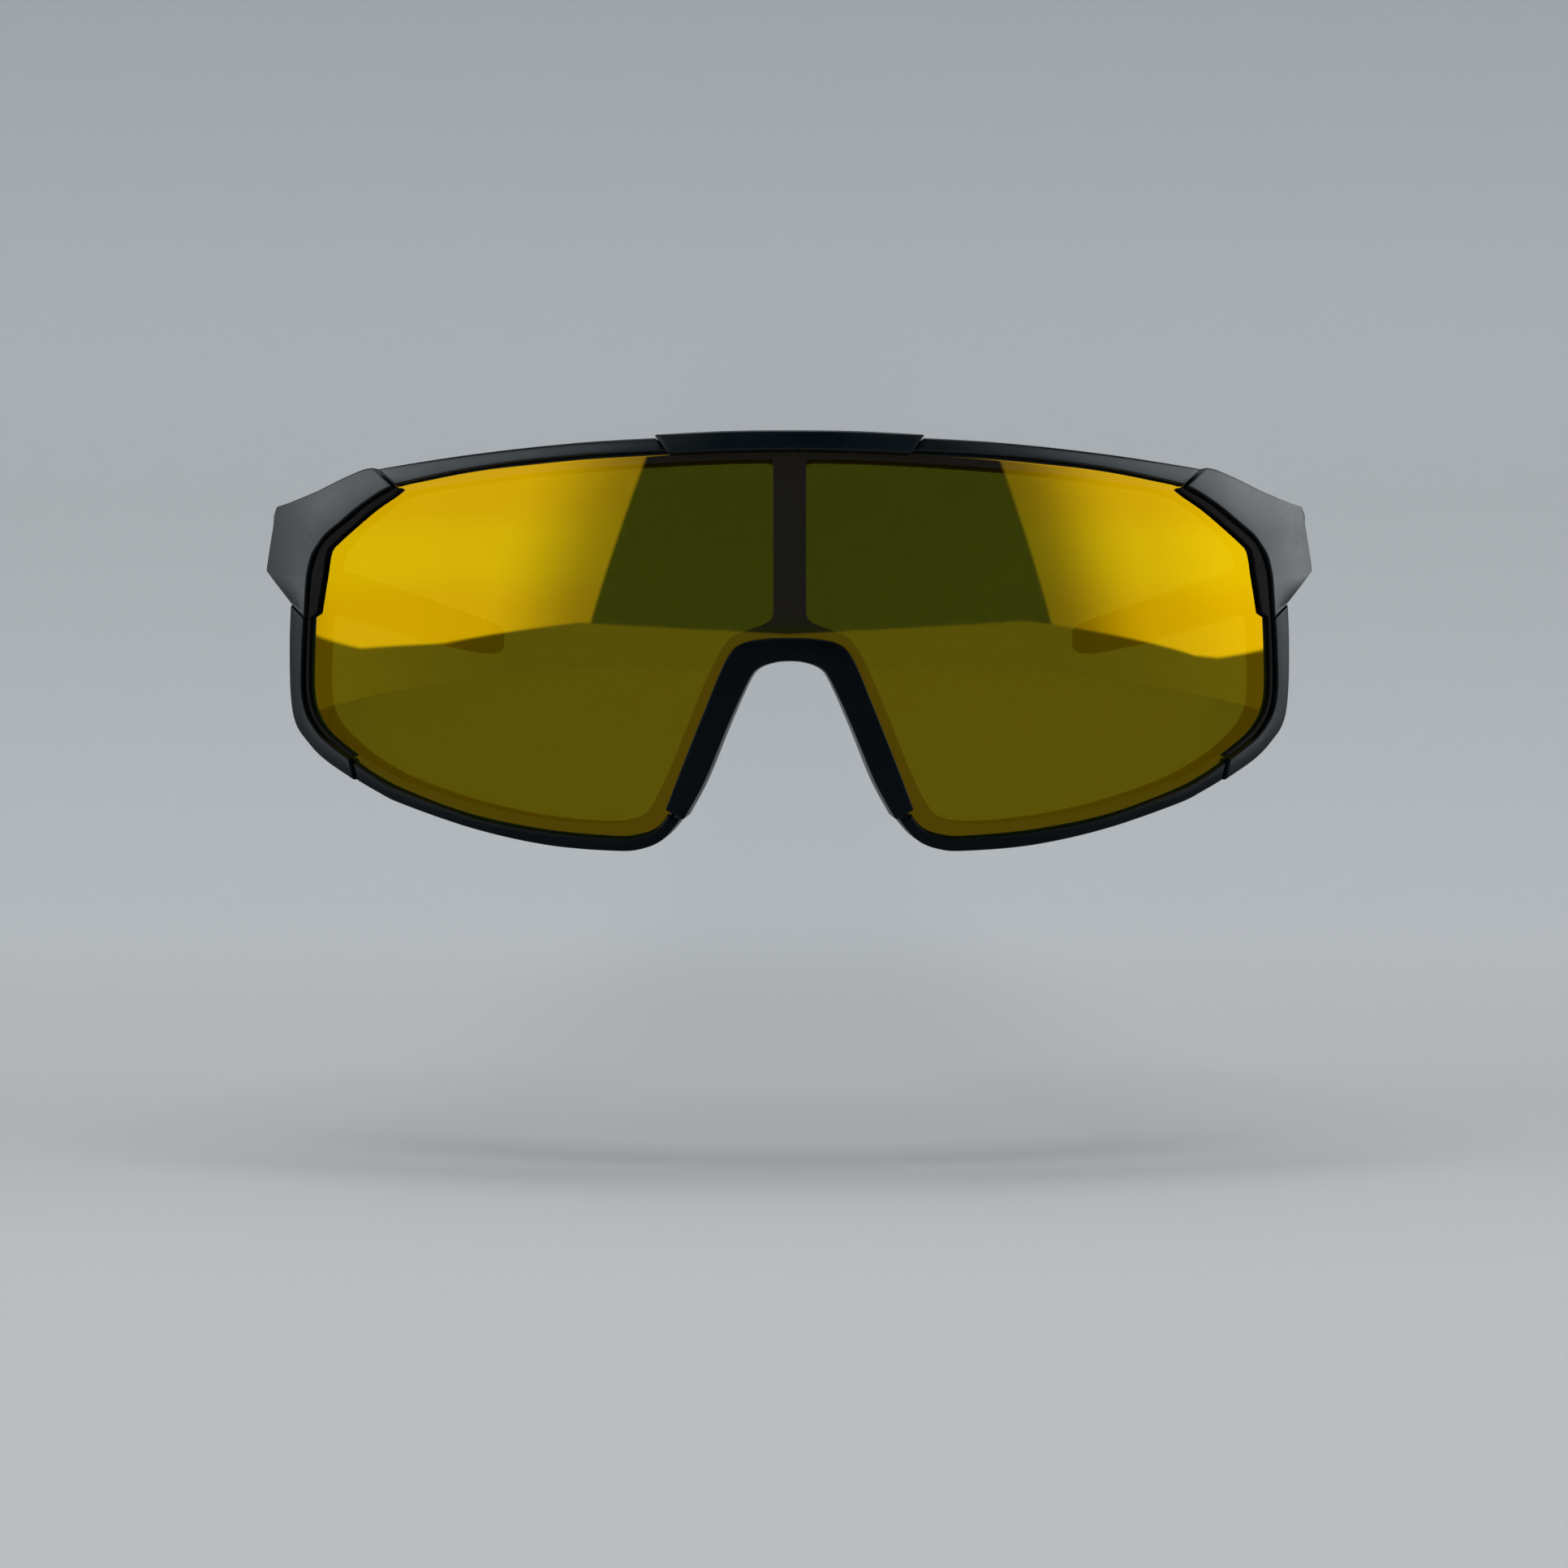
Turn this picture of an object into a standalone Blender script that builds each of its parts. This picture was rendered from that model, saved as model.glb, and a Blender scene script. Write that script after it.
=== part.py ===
"""Glacier glasses: a full-rim shield lens, segmented rim and two folding temples.

Front faces -Y, temples run back along +Y, +Z is up, the underside of the rim is at z = 0.
Everything below is written in millimetres and scaled to metres as it is placed.
The whole front follows one curved lens surface, so rim pieces are given as (x, z) on that
surface plus a height h along its outward normal (h = 0 is the front of the lens).
"""
import math

import bmesh
import bpy
from mathutils import Matrix, Vector
from mathutils.geometry import intersect_point_line

# ---------------------------------------------------------------- driving dimensions (mm)
MM = 0.001
LENS_WRAP_R = 86.0        # side-to-side radius of the lens
LENS_CROWN_R = 180.0      # top-to-bottom radius of the lens
LENS_MID_Z = 28.7         # height of the lens's foremost line
FRONT_Y = -82.7           # foremost point of the lens, half of the overall depth forward
LENS_T = 1.4
GAP = 0.3                 # running gap between neighbouring pieces
LAP = 0.8                 # depth of the groove from the lens-side edge of the rim
EDGE = 0.35               # how far the lens reaches into the groove
LIP = 0.15                # height of the back of the rim lips over the lens
GROOVE = -3.0             # back of the groove that holds lens and carrier
RIM_BACK = -4.2           # back face of the rim
CARRIER_H, CARRIER_T = -1.7, 1.0       # front face and thickness of the inner ring
BAR_H, END_H, BRIDGE_H, GASKET_H = 0.7, 1.0, 1.0, 0.55     # front faces of the rim pieces
BAR_LOW_H = 0.45          # front face of the brow bar where the clip covers it
CLIP_H, CLIP_BACK, CLIP_T = 1.3, 0.75, 0.6
HINGE_X, HINGE_Y = 67.2, 46.2          # hinge axis, upright, y counted from the lens apex
HINGE_Z = (39.6, 41.4, 41.7, 43.5, 43.8, 45.6)   # lower, middle and upper knuckle
KNUCKLE_R, PIN_R, HOLE_R, FLANGE_T = 1.7, 0.6, 0.9, 1.3
HEAD_R, HEAD_T, SCREW_DEPTH = 1.2, 0.6, 1.4
WALL_X, OUTER_X = 69.3, 72.3           # inner and outer face at the hinge
CORNER_Y = 40.2           # inside corner between the endpiece's front and its side wall
SEAT_GAP = 0.2            # from the hinge axis forward to the endpiece's rear face
WALL_LOW_Z = 38.5         # lower end of the side wall at the hinge
WALL_DROP = 0.4           # how much lower the side wall sits than the front's outer edge
WIRE_R = 0.7
CORE = ((60.9, 114.0, 35.7), (53.6, 149.0, 34.1))    # ends of the wire inside arm and tip
ROUND_SIDES = 20

COLLECTION = "glacier_glasses"

for old in list(bpy.data.objects):
    bpy.data.objects.remove(old, do_unlink=True)

parts = bpy.data.collections.new(COLLECTION)
helpers = bpy.data.collections.new("helpers")
bpy.context.scene.collection.children.link(parts)
bpy.context.scene.collection.children.link(helpers)

# ---------------------------------------------------------------- outlines on the lens (mm)
# The lens opening, upper edge and lower edge paired from the middle out to the side.
OPENING = [
    ((0.0, 51.6), (0.0, 27.3)), ((3.5, 51.6), (3.1, 27.2)), ((6.5, 51.6), (6.3, 26.5)),
    ((9.0, 51.55), (8.2, 24.35)), ((12.5, 51.5), (12.3, 14.3)), ((16.0, 51.4), (15.35, 6.75)),
    ((18.5, 51.35), (15.75, 4.6)), ((22.0, 51.25), (17.3, 2.65)), ((25.0, 51.15), (19.8, 1.85)),
    ((28.0, 51.0), (22.6, 1.7)), ((33.5, 50.6), (31.3, 2.45)), ((40.2, 50.05), (41.1, 4.3)),
    ((47.3, 49.1), (49.0, 6.9)), ((52.4, 48.1), (55.4, 9.85)), ((58.8, 44.3), (60.3, 13.3)),
    ((63.2, 40.8), (63.0, 15.5)), ((64.8, 36.8), (64.8, 18.1)), ((65.2, 31.3), (65.55, 21.6)),
]
# Rim pieces: (edge at the lens, outer edge) at stations along each piece.
BAR_MIDDLE = [
    ((0.0, 51.6), (0.0, 52.9)), ((8.0, 51.55), (8.6, 52.8)), ((15.6, 51.4), (16.55, 52.5)),
]
BAR_OUTER = [
    ((16.1, 51.4), (17.3, 53.1)), ((24.9, 51.15), (24.9, 52.9)), ((31.3, 50.8), (31.3, 52.55)),
    ((37.8, 50.3), (37.8, 52.1)), ((44.3, 49.55), (44.7, 51.55)), ((52.1, 48.35), (54.4, 50.65)),
]
CLIP = [((0.0, 51.35), (0.0, 53.85)), ((7.7, 51.25), (7.8, 53.8)), ((15.45, 51.0), (17.1, 53.45))]
# Endpiece: (lens edge, outer edge, how far the side wall reaches back to the hinge), in three
# runs that meet in its two outer corners.
END_TOP = [
    ((52.35, 48.1), (55.05, 50.8), 0.0), ((54.3, 47.2), (56.6, 50.65), 0.0),
    ((57.0, 45.65), (59.9, 49.6), 0.0), ((59.6, 43.85), (63.5, 48.25), 0.1),
    ((61.9, 42.25), (67.2, 47.2), 0.5), ((63.1, 40.9), (69.55, 46.75), 1.0),
]
END_SIDE = [
    ((63.25, 40.75), (69.72, 46.5), 1.0), ((64.1, 39.4), (70.45, 42.8), 1.0),
    ((64.75, 37.0), (71.25, 38.5), 1.0),
]
END_FOOT = [
    ((64.8, 36.5), (71.15, 37.9), 0.9), ((65.0, 34.0), (69.3, 35.7), 0.25),
    ((65.15, 31.35), (67.25, 33.4), 0.0),
]
SIDE_RIM = [
    ((65.2, 31.05), (67.35, 33.05)), ((65.45, 27.0), (67.55, 28.3)), ((65.55, 21.4), (67.45, 21.3)),
    ((64.8, 18.1), (66.7, 17.1)), ((63.1, 15.55), (64.7, 14.35)), ((61.2, 13.95), (62.1, 11.95)),
    ((58.4, 12.0), (57.75, 9.25)),
]
LOWER_RIM = [
    ((58.0, 11.6), (57.4, 9.15)), ((54.7, 9.45), (54.7, 7.7)), ((51.2, 7.8), (51.2, 6.1)),
    ((41.1, 4.3), (41.1, 2.85)), ((31.3, 2.45), (31.3, 0.8)), ((22.6, 1.7), (22.4, 0.1)),
    ((19.2, 2.0), (18.9, 0.4)), ((17.0, 2.95), (16.3, 1.55)), ((15.4, 4.6), (14.2, 3.75)),
]
BRIDGE = [
    ((0.0, 27.3), (0.0, 24.4)), ((3.1, 27.2), (1.8, 24.25)), ((6.3, 26.5), (3.9, 23.5)),
    ((8.2, 24.35), (5.2, 21.9)), ((10.8, 18.2), (7.7, 16.5)), ((13.9, 10.45), (10.8, 9.1)),
    ((15.8, 5.5), (13.5, 4.2)),
]
GASKET_WIDE = [
    ((51.7, 48.05), (51.05, 47.6)), ((53.0, 47.4), (52.2, 46.7)), ((55.7, 46.1), (55.2, 44.85)),
    ((58.7, 44.0), (58.5, 42.5)), ((61.2, 42.35), (60.8, 40.75)), ((62.95, 40.7), (61.75, 39.6)),
    ((64.25, 37.6), (62.25, 36.6)), ((64.65, 34.0), (62.75, 33.8)), ((64.85, 31.7), (63.1, 31.9)),
]
GASKET_NARROW = [
    ((64.9, 31.2), (64.35, 31.4)), ((65.15, 27.0), (64.5, 27.0)), ((65.2, 21.5), (64.55, 21.6)),
    ((64.5, 18.35), (63.95, 18.65)), ((62.85, 15.85), (62.45, 16.3)), ((60.95, 14.25), (60.65, 14.7)),
    ((58.3, 12.35), (58.0, 12.75)),
]
# Carrier: outline of one viewing window from the top of the post round to its foot, and the
# post as (window edge, point on the centre line).
WINDOW = [
    (3.0, 50.3), (9.6, 50.2), (22.5, 49.7), (33.0, 49.1), (43.0, 48.2), (51.8, 47.1),
    (57.2, 44.2), (60.9, 41.0), (62.4, 38.6), (63.6, 32.0), (64.2, 27.0), (64.1, 20.6),
    (63.2, 17.8), (61.4, 15.6), (57.4, 12.5), (51.3, 9.3), (41.0, 6.0), (31.0, 4.1),
    (23.0, 3.6), (19.4, 4.4), (17.7, 6.0), (15.2, 11.0), (12.8, 17.0), (10.2, 23.1),
    (8.0, 27.0), (6.0, 28.1), (4.4, 28.7),
]
POST = [
    ((3.3, 29.1), (0.0, 27.0)), ((2.4, 29.7), (0.0, 29.0)), ((2.1, 30.7), (0.0, 30.7)),
    ((2.1, 40.0), (0.0, 40.0)), ((2.1, 49.6), (0.0, 49.6)), ((2.4, 50.1), (0.0, 51.8)),
]
PAD = [            # (edge at the bridge, how far the pad reaches back)
    ((6.7, 19.6), 4.0), ((7.9, 16.8), 7.0), ((9.4, 13.2), 8.0), ((10.9, 9.7), 7.4),
    ((12.1, 6.9), 4.4),
]
ARM = [            # (y, inner x, outer x, lower z, upper z), y counted from the lens apex
    (46.5, 69.3, 72.3, 38.5, 46.4), (50.0, 69.3, 72.4, 37.9, 45.8), (56.0, 69.3, 72.2, 36.5, 44.2),
    (62.0, 68.6, 71.3, 35.3, 42.4), (72.0, 67.1, 69.8, 34.2, 41.1), (124.0, 57.6, 60.4, 32.0, 38.7),
]
STRAIGHT_Y = 72.0         # the arm is straight and flat-sided behind this
TIP = [
    (124.4, 57.2, 60.6, 31.8, 38.8), (135.0, 54.9, 58.5, 31.5, 38.0), (150.0, 51.6, 55.4, 31.1, 37.1),
    (160.0, 49.5, 53.3, 31.0, 36.4), (164.5, 48.9, 52.1, 31.4, 35.9), (166.4, 49.4, 51.3, 32.4, 35.0),
]


# ---------------------------------------------------------------- geometry helpers
def place(x, y, z):
    """A point given in mm from the lens apex, in metres in the object's frame."""
    return Vector((x, y + FRONT_Y, z)) * MM


def on_lens(x, z, h, side=1):
    """A point h mm outside the lens surface; side is 1 for +X and -1 for -X."""
    root = math.sqrt(LENS_WRAP_R ** 2 - x * x)
    slope_x, slope_z = x / root, (z - LENS_MID_Z) / LENS_CROWN_R
    depth = LENS_WRAP_R - root + (z - LENS_MID_Z) ** 2 / (2 * LENS_CROWN_R)
    lift = h / math.sqrt(1 + slope_x ** 2 + slope_z ** 2)
    return place(side * (x + slope_x * lift), depth - lift, z + slope_z * lift)


def refine(stations, cuts):
    """Extra stations on a smooth curve through the given ones (any nesting of numbers)."""
    def mix(a, b, c, d, t):
        if isinstance(a, tuple):
            return tuple(mix(*values, t) for values in zip(a, b, c, d))
        return b + 0.5 * t * (c - a + t * (2 * a - 5 * b + 4 * c - d + t * (3 * (b - c) + d - a)))

    out = []
    last = len(stations) - 1
    for i in range(last):
        four = [stations[min(max(i + k, 0), last)] for k in (-1, 0, 1, 2)]
        out += [mix(*four, step / cuts) for step in range(cuts)]
    return out + [stations[last]]


def across(station, share, offset=0.0):
    """The point share of the way from the lens edge to the outer edge, plus offset mm."""
    inner, outer = Vector(station[0]), Vector(station[1])
    return inner + (outer - inner) * share + (outer - inner).normalized() * offset


def push_out(points, distance):
    """A line of (x, z) points moved sideways, to the left of the way it runs."""
    out = []
    for i, point in enumerate(points):
        before, after = points[max(i - 1, 0)], points[min(i + 1, len(points) - 1)]
        run = (Vector(after) - Vector(before)).normalized()
        out.append((point[0] - run.y * distance, point[1] + run.x * distance))
    return out


def nearest(line, point):
    """The point of a line of (x, z) points that is closest to the given one."""
    spots = []
    for a, b in zip(line, line[1:]):
        _, share = intersect_point_line(Vector(point), Vector(a), Vector(b))
        share = min(max(share, 0.0), 1.0)
        spots.append(tuple(Vector(a).lerp(Vector(b), share)))
    return min(spots, key=lambda spot: math.dist(spot, point))


# ---------------------------------------------------------------- object helpers
def paint(obj, colour, roughness, metallic=0.0, alpha=1.0):
    material = bpy.data.materials.new(obj.name)
    material.use_nodes = True
    shader = material.node_tree.nodes["Principled BSDF"]
    shader.inputs["Base Color"].default_value = (*colour, 1.0)
    shader.inputs["Roughness"].default_value = roughness
    shader.inputs["Metallic"].default_value = metallic
    shader.inputs["Alpha"].default_value = alpha
    obj.data.materials.append(material)


def add_object(name, bm, collection=parts):
    mesh = bpy.data.meshes.new(name)
    bm.to_mesh(mesh)
    bm.free()
    mesh.shade_smooth()
    mesh.set_sharp_from_angle(angle=math.radians(35))
    obj = bpy.data.objects.new(name, mesh)
    collection.objects.link(obj)
    return obj


def loft(name, rings, round_edges=(), half=False):
    """A body through rings of equal length, open at the first ring where it is a half.

    The long edges that start at the listed ring corners get a bevel weight.
    """
    bm = bmesh.new()
    rows = [[bm.verts.new(point) for point in ring] for ring in rings]
    size = len(rows[0])
    weight = bm.edges.layers.float.new("bevel_weight_edge")
    for a, b in zip(rows, rows[1:]):
        for k in range(size):
            bm.faces.new((a[k], a[(k + 1) % size], b[(k + 1) % size], b[k]))
        for k in round_edges:
            bm.edges.get((a[k], b[k]))[weight] = 1.0
    bm.faces.new(rows[-1])
    start = bm.faces.new(rows[0])
    bmesh.ops.recalc_face_normals(bm, faces=bm.faces)
    if half:
        bmesh.ops.delete(bm, geom=[start], context="FACES_ONLY")
    obj = add_object(name, bm)
    if half:
        add_mirror(obj)
    return obj


def strip(name, stations, section, round_edges=(), side=1, half=False):
    """A rim piece: section turns a station into (share, offset, h) corners."""
    rings = []
    for station in stations:
        ring = []
        for share, offset, h in section(station):
            point = across(station, share, offset)
            ring.append(on_lens(point.x, point.y, h, side))
        rings.append(ring)
    return loft(name, rings, round_edges, half)


def grooved(station, front):
    """Section of a rim piece with a groove for the lens; its first two corners face forward."""
    return [
        (0, 0, front), (1, 0, front), (1, 0, RIM_BACK), (0, 0, RIM_BACK),
        (0, 0, GROOVE), (0, LAP, GROOVE), (0, LAP, LIP), (0, 0, LIP),
    ]


def add_mirror(obj):
    modifier = obj.modifiers.new("both halves", "MIRROR")
    modifier.merge_threshold = 0.00002


def add_thickness(obj, thickness):
    modifier = obj.modifiers.new("thickness", "SOLIDIFY")
    modifier.thickness = thickness * MM
    modifier.offset = -1.0


def add_bevel(obj, width):
    modifier = obj.modifiers.new("edges", "BEVEL")
    modifier.limit_method = "WEIGHT"
    modifier.width = width * MM
    modifier.segments = 1


def combine(obj, other, operation):
    other.hide_render = True
    other.display_type = "WIRE"
    modifier = obj.modifiers.new(operation.lower(), "BOOLEAN")
    modifier.operation = operation
    modifier.solver = "EXACT"
    modifier.object = other


def cylinder(name, start, end, radius, collection=parts):
    """A round bar between two points in metres."""
    bm = bmesh.new()
    bmesh.ops.create_cone(bm, cap_ends=True, segments=ROUND_SIDES, radius1=radius * MM,
                          radius2=radius * MM, depth=(end - start).length)
    obj = add_object(name, bm, collection)
    obj.location = (start + end) / 2
    obj.rotation_euler = (end - start).to_track_quat("Z", "Y").to_euler()
    return obj


def block(name, x_span, y_span, z_span, collection=parts):
    """A box between two x, two y and two z values in mm."""
    low, high = (place(*corner) for corner in zip(x_span, y_span, z_span))
    bm = bmesh.new()
    bmesh.ops.create_cube(bm, size=1.0)
    size = high - low
    bmesh.ops.scale(bm, verts=bm.verts, vec=[abs(value) for value in size])
    obj = add_object(name, bm, collection)
    obj.location = (low + high) / 2
    return obj


def fastener(name, head, direction, length):
    """A plain screw or pin turned round its axis, its head's outer end at head."""
    profile = [(0, 0), (HEAD_R - 0.25, 0), (HEAD_R, -0.2), (HEAD_R, -HEAD_T), (PIN_R, -HEAD_T),
               (PIN_R, -length), (0, -length)]
    bm = bmesh.new()
    points = [bm.verts.new((x * MM, 0, z * MM)) for x, z in profile]
    for a, b in zip(points, points[1:]):
        bm.edges.new((a, b))
    obj = add_object(name, bm)
    obj.location = head
    obj.rotation_euler = (-direction).to_track_quat("Z", "Y").to_euler()
    turn = obj.modifiers.new("turned", "SCREW")
    turn.steps = turn.render_steps = ROUND_SIDES
    turn.use_merge_vertices = True
    turn.merge_threshold = 0.00001
    paint(obj, STEEL, 0.25, 1.0)
    return obj


BLACK, SOFT_BLACK, STEEL = (0.025, 0.028, 0.032), (0.012, 0.012, 0.013), (0.55, 0.56, 0.58)


# ---------------------------------------------------------------- lens and carrier
def lens_edges():
    """Upper and lower edge of the right half of the lens, from the middle out."""
    pairs = refine(OPENING, 3)
    top = push_out([pair[0] for pair in pairs], EDGE)
    low = push_out([pair[1] for pair in reversed(pairs)], EDGE)[::-1]
    return top, low


def build_lens():
    rows = 8
    bm = bmesh.new()
    sheet = [[bm.verts.new(on_lens(*Vector(high).lerp(Vector(low), r / rows), 0.0))
              for r in range(rows + 1)] for high, low in zip(*lens_edges())]
    for a, b in zip(sheet, sheet[1:]):
        for r in range(rows):
            bm.faces.new((a[r], a[r + 1], b[r + 1], b[r]))
    lens = add_object("lens", bm)
    add_mirror(lens)
    add_thickness(lens, LENS_T)
    paint(lens, (0.72, 0.52, 0.02), 0.05, alpha=0.75)


def build_carrier():
    top, low = lens_edges()
    edge = top + low[::-1]
    half = POST + [(point, nearest(edge, point)) for point in refine(WINDOW, 2)]
    bm = bmesh.new()
    pairs = [[bm.verts.new(on_lens(x, z, CARRIER_H)) for x, z in pair] for pair in half]
    for a, b in zip(pairs, pairs[1:] + pairs[:1]):
        bm.faces.new((a[0], b[0], b[1], a[1]))
    carrier = add_object("lens_carrier", bm)
    add_mirror(carrier)
    add_thickness(carrier, CARRIER_T)
    paint(carrier, SOFT_BLACK, 0.5)


# ---------------------------------------------------------------- rim
def build_brow():
    middle = [station + (BAR_LOW_H,) for station in refine(BAR_MIDDLE, 2)]
    outer = [station + (BAR_H,) for station in refine(BAR_OUTER, 4)]
    bar = strip("brow_bar", middle + outer, lambda station: grooved(station, station[2]), (0, 1),
                half=True)
    add_bevel(bar, 0.15)
    paint(bar, BLACK, 0.35)

    def saddle(station):
        return [(0, 0, CLIP_BACK), (0, 0, CLIP_H), (1, 0, CLIP_H), (1, 0, RIM_BACK),
                (1, -CLIP_T, RIM_BACK), (1, -CLIP_T, CLIP_BACK)]
    clip = strip("brow_clip", refine(CLIP, 4), saddle, (1, 2), half=True)
    add_bevel(clip, 0.25)
    paint(clip, BLACK, 0.3)


def build_bridge():
    bridge = strip("nose_bridge", refine(BRIDGE, 4), lambda station: grooved(station, BRIDGE_H),
                   (0, 1), half=True)
    add_bevel(bridge, 0.3)
    paint(bridge, BLACK, 0.35)


def build_endpiece(side, suffix):
    """Upper corner: a grooved rim whose outer edge runs back as a wall to the hinge."""
    rings = []
    stations = refine(END_TOP, 2) + refine(END_SIDE, 2) + refine(END_FOOT, 2)
    for lens_edge, outer_edge, reach in stations:
        station = (lens_edge, outer_edge)
        lip = across(station, 0, LAP)
        wall_z = max(outer_edge[1] - WALL_DROP, WALL_LOW_Z)
        rear_outer = place(side * OUTER_X, HINGE_Y - SEAT_GAP, wall_z)
        rear_inner = place(side * WALL_X, HINGE_Y - SEAT_GAP, wall_z)
        corner = place(side * WALL_X, CORNER_Y, wall_z)
        rings.append([
            on_lens(*lens_edge, END_H, side), on_lens(*outer_edge, END_H, side),
            on_lens(*outer_edge, RIM_BACK, side).lerp(rear_outer, reach),
            on_lens(*across(station, 1, -0.8), RIM_BACK, side).lerp(rear_inner, reach),
            on_lens(*across(station, 1, -1.3), RIM_BACK, side).lerp(corner, reach),
            on_lens(*lens_edge, RIM_BACK, side), on_lens(*lens_edge, GROOVE, side),
            on_lens(*lip, GROOVE, side), on_lens(*lip, LIP, side),
            on_lens(*lens_edge, LIP, side),
        ])
    endpiece = loft("endpiece_" + suffix, rings, (0, 1))
    add_bevel(endpiece, 0.3)
    paint(endpiece, BLACK, 0.38)
    return endpiece


def build_rim(side, suffix):
    rim = strip("side_rim_" + suffix, refine(SIDE_RIM, 3),
                lambda station: grooved(station, END_H), (0, 1), side)
    add_bevel(rim, 0.3)
    paint(rim, BLACK, 0.38)
    lower = strip("lower_rim_" + suffix, refine(LOWER_RIM, 3),
                  lambda station: grooved(station, BAR_H), (0, 1), side)
    add_bevel(lower, 0.25)
    paint(lower, BLACK, 0.35)


def build_gasket(side, suffix):
    """Clamp strip on the lens: wide beside the endpiece, narrow beside the side rim."""
    def section(station):
        return [(0, 0, LIP), (0, 0, GASKET_H), (1, 0, GASKET_H), (1, 0, LIP)]
    stations = refine(GASKET_WIDE, 2) + refine(GASKET_NARROW, 3)
    gasket = strip("lens_gasket_" + suffix, stations, section, (), side)
    paint(gasket, SOFT_BLACK, 0.7)


def build_pad(side, suffix):
    """Soft wing behind a bridge leg: it flares outward as it runs back."""
    rings = []
    root = RIM_BACK - GAP
    for (x, z), reach in refine(PAD, 3):
        rings.append([
            on_lens(x, z, root, side), on_lens(x + 1.7, z + 0.7, root, side),
            on_lens(x + 1.9 + 0.55 * reach, z + 0.5, RIM_BACK - reach, side),
            on_lens(x + 1.3 + 0.6 * reach, z, RIM_BACK - reach - 0.9, side),
            on_lens(x + 0.5 * reach, z - 0.4, RIM_BACK - reach - 0.5, side),
        ])
    pad = loft("nose_pad_" + suffix, rings)
    paint(pad, SOFT_BLACK, 0.8)


# ---------------------------------------------------------------- hinge
def hinge_half(name, side, far_y, levels, plate_z):
    """A flange against the wall, running from near the axis to far_y, with its knuckles."""
    toward = math.copysign(1, far_y - HINGE_Y)
    near_y = HINGE_Y + toward * (KNUCKLE_R + 0.4)
    flange_x = (side * (WALL_X - GAP - FLANGE_T), side * (WALL_X - GAP))
    half = block(name, flange_x, (near_y, far_y), plate_z)
    for level, (z0, z1) in enumerate(levels):
        label = "%s_knuckle_%d" % (name, level)
        knuckle = cylinder(label, place(side * HINGE_X, HINGE_Y, z0),
                           place(side * HINGE_X, HINGE_Y, z1), KNUCKLE_R, helpers)
        web = block(label + "_web", (side * (HINGE_X - 0.2), side * (WALL_X - GAP)),
                    (HINGE_Y + toward * 0.4, near_y + toward * 0.5), (z0, z1), helpers)
        combine(half, knuckle, "UNION")
        combine(half, web, "UNION")
    bore = cylinder(name + "_bore", place(side * HINGE_X, HINGE_Y, HINGE_Z[0] - 2),
                    place(side * HINGE_X, HINGE_Y, HINGE_Z[-1] + 2), HOLE_R, helpers)
    combine(half, bore, "DIFFERENCE")
    paint(half, STEEL, 0.3, 1.0)
    return half, (near_y + far_y) / 2, sum(plate_z) / 2


def fasten(name, side, flange, wall, y, z):
    """A screw through the flange into a blind hole in the wall behind it."""
    outward = Vector((side, 0, 0))
    hole = cylinder(name + "_hole", place(side * (WALL_X - 3), y, z),
                    place(side * (WALL_X + SCREW_DEPTH + GAP), y, z), HOLE_R, helpers)
    combine(flange, hole, "DIFFERENCE")
    combine(wall, hole, "DIFFERENCE")
    head_x = WALL_X - GAP - FLANGE_T - GAP - HEAD_T
    return fastener(name, place(side * head_x, y, z), outward, WALL_X + SCREW_DEPTH - head_x)


def build_hinge(side, suffix, endpiece, arm):
    z = HINGE_Z
    fixed, y, middle_z = hinge_half("hinge_block_" + suffix, side, HINGE_Y - 5.6,
                                    [(z[0], z[1]), (z[4], z[5])], (z[0], z[5]))
    fasten("block_screw_" + suffix, side, fixed, endpiece, y, middle_z)
    leaf, y, middle_z = hinge_half("hinge_leaf_" + suffix, side, HINGE_Y + 8.6,
                                   [(z[2], z[3])], (z[0] - 0.6, z[3] + 0.2))
    screw = fasten("leaf_screw_" + suffix, side, leaf, arm, y, middle_z)
    fastener("hinge_pin_" + suffix, place(side * HINGE_X, HINGE_Y, z[-1] + GAP + HEAD_T),
             Vector((0, 0, -1)), z[-1] - z[0] + 2 * GAP + HEAD_T)
    return leaf, screw


# ---------------------------------------------------------------- temples
def bar_rings(stations, side, corner):
    """Eight-sided sections of an upright bar with its corners cut back."""
    rings = []
    for y, x0, x1, z0, z1 in stations:
        cut_x, cut_z = min(corner, 0.35 * (x1 - x0)), min(corner * 1.3, 0.35 * (z1 - z0))
        outline = [(x0 + cut_x, z0), (x1 - cut_x, z0), (x1, z0 + cut_z), (x1, z1 - cut_z),
                   (x1 - cut_x, z1), (x0 + cut_x, z1), (x0, z1 - cut_z), (x0, z0 + cut_z)]
        rings.append([place(side * x, y, z) for x, z in outline])
    return rings


def build_temple(side, suffix):
    curved = [station for station in refine(ARM, 3) if station[0] <= STRAIGHT_Y]
    arm = loft("temple_arm_" + suffix, bar_rings(curved + ARM[-1:], side, 0.7))
    paint(arm, BLACK, 0.38)
    tip = loft("temple_tip_" + suffix, bar_rings(refine(TIP, 3), side, 1.1))
    paint(tip, SOFT_BLACK, 0.8)
    start, end = (place(side * x, y, z) for x, y, z in CORE)
    core = cylinder("temple_core_" + suffix, start, end, WIRE_R)
    paint(core, STEEL, 0.3, 1.0)
    spare = (end - start).normalized() * GAP * MM
    hole = cylinder("core_hole_" + suffix, start - spare, end + spare, WIRE_R + GAP, helpers)
    combine(arm, hole, "DIFFERENCE")
    combine(tip, hole, "DIFFERENCE")
    return arm, tip, core


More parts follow.
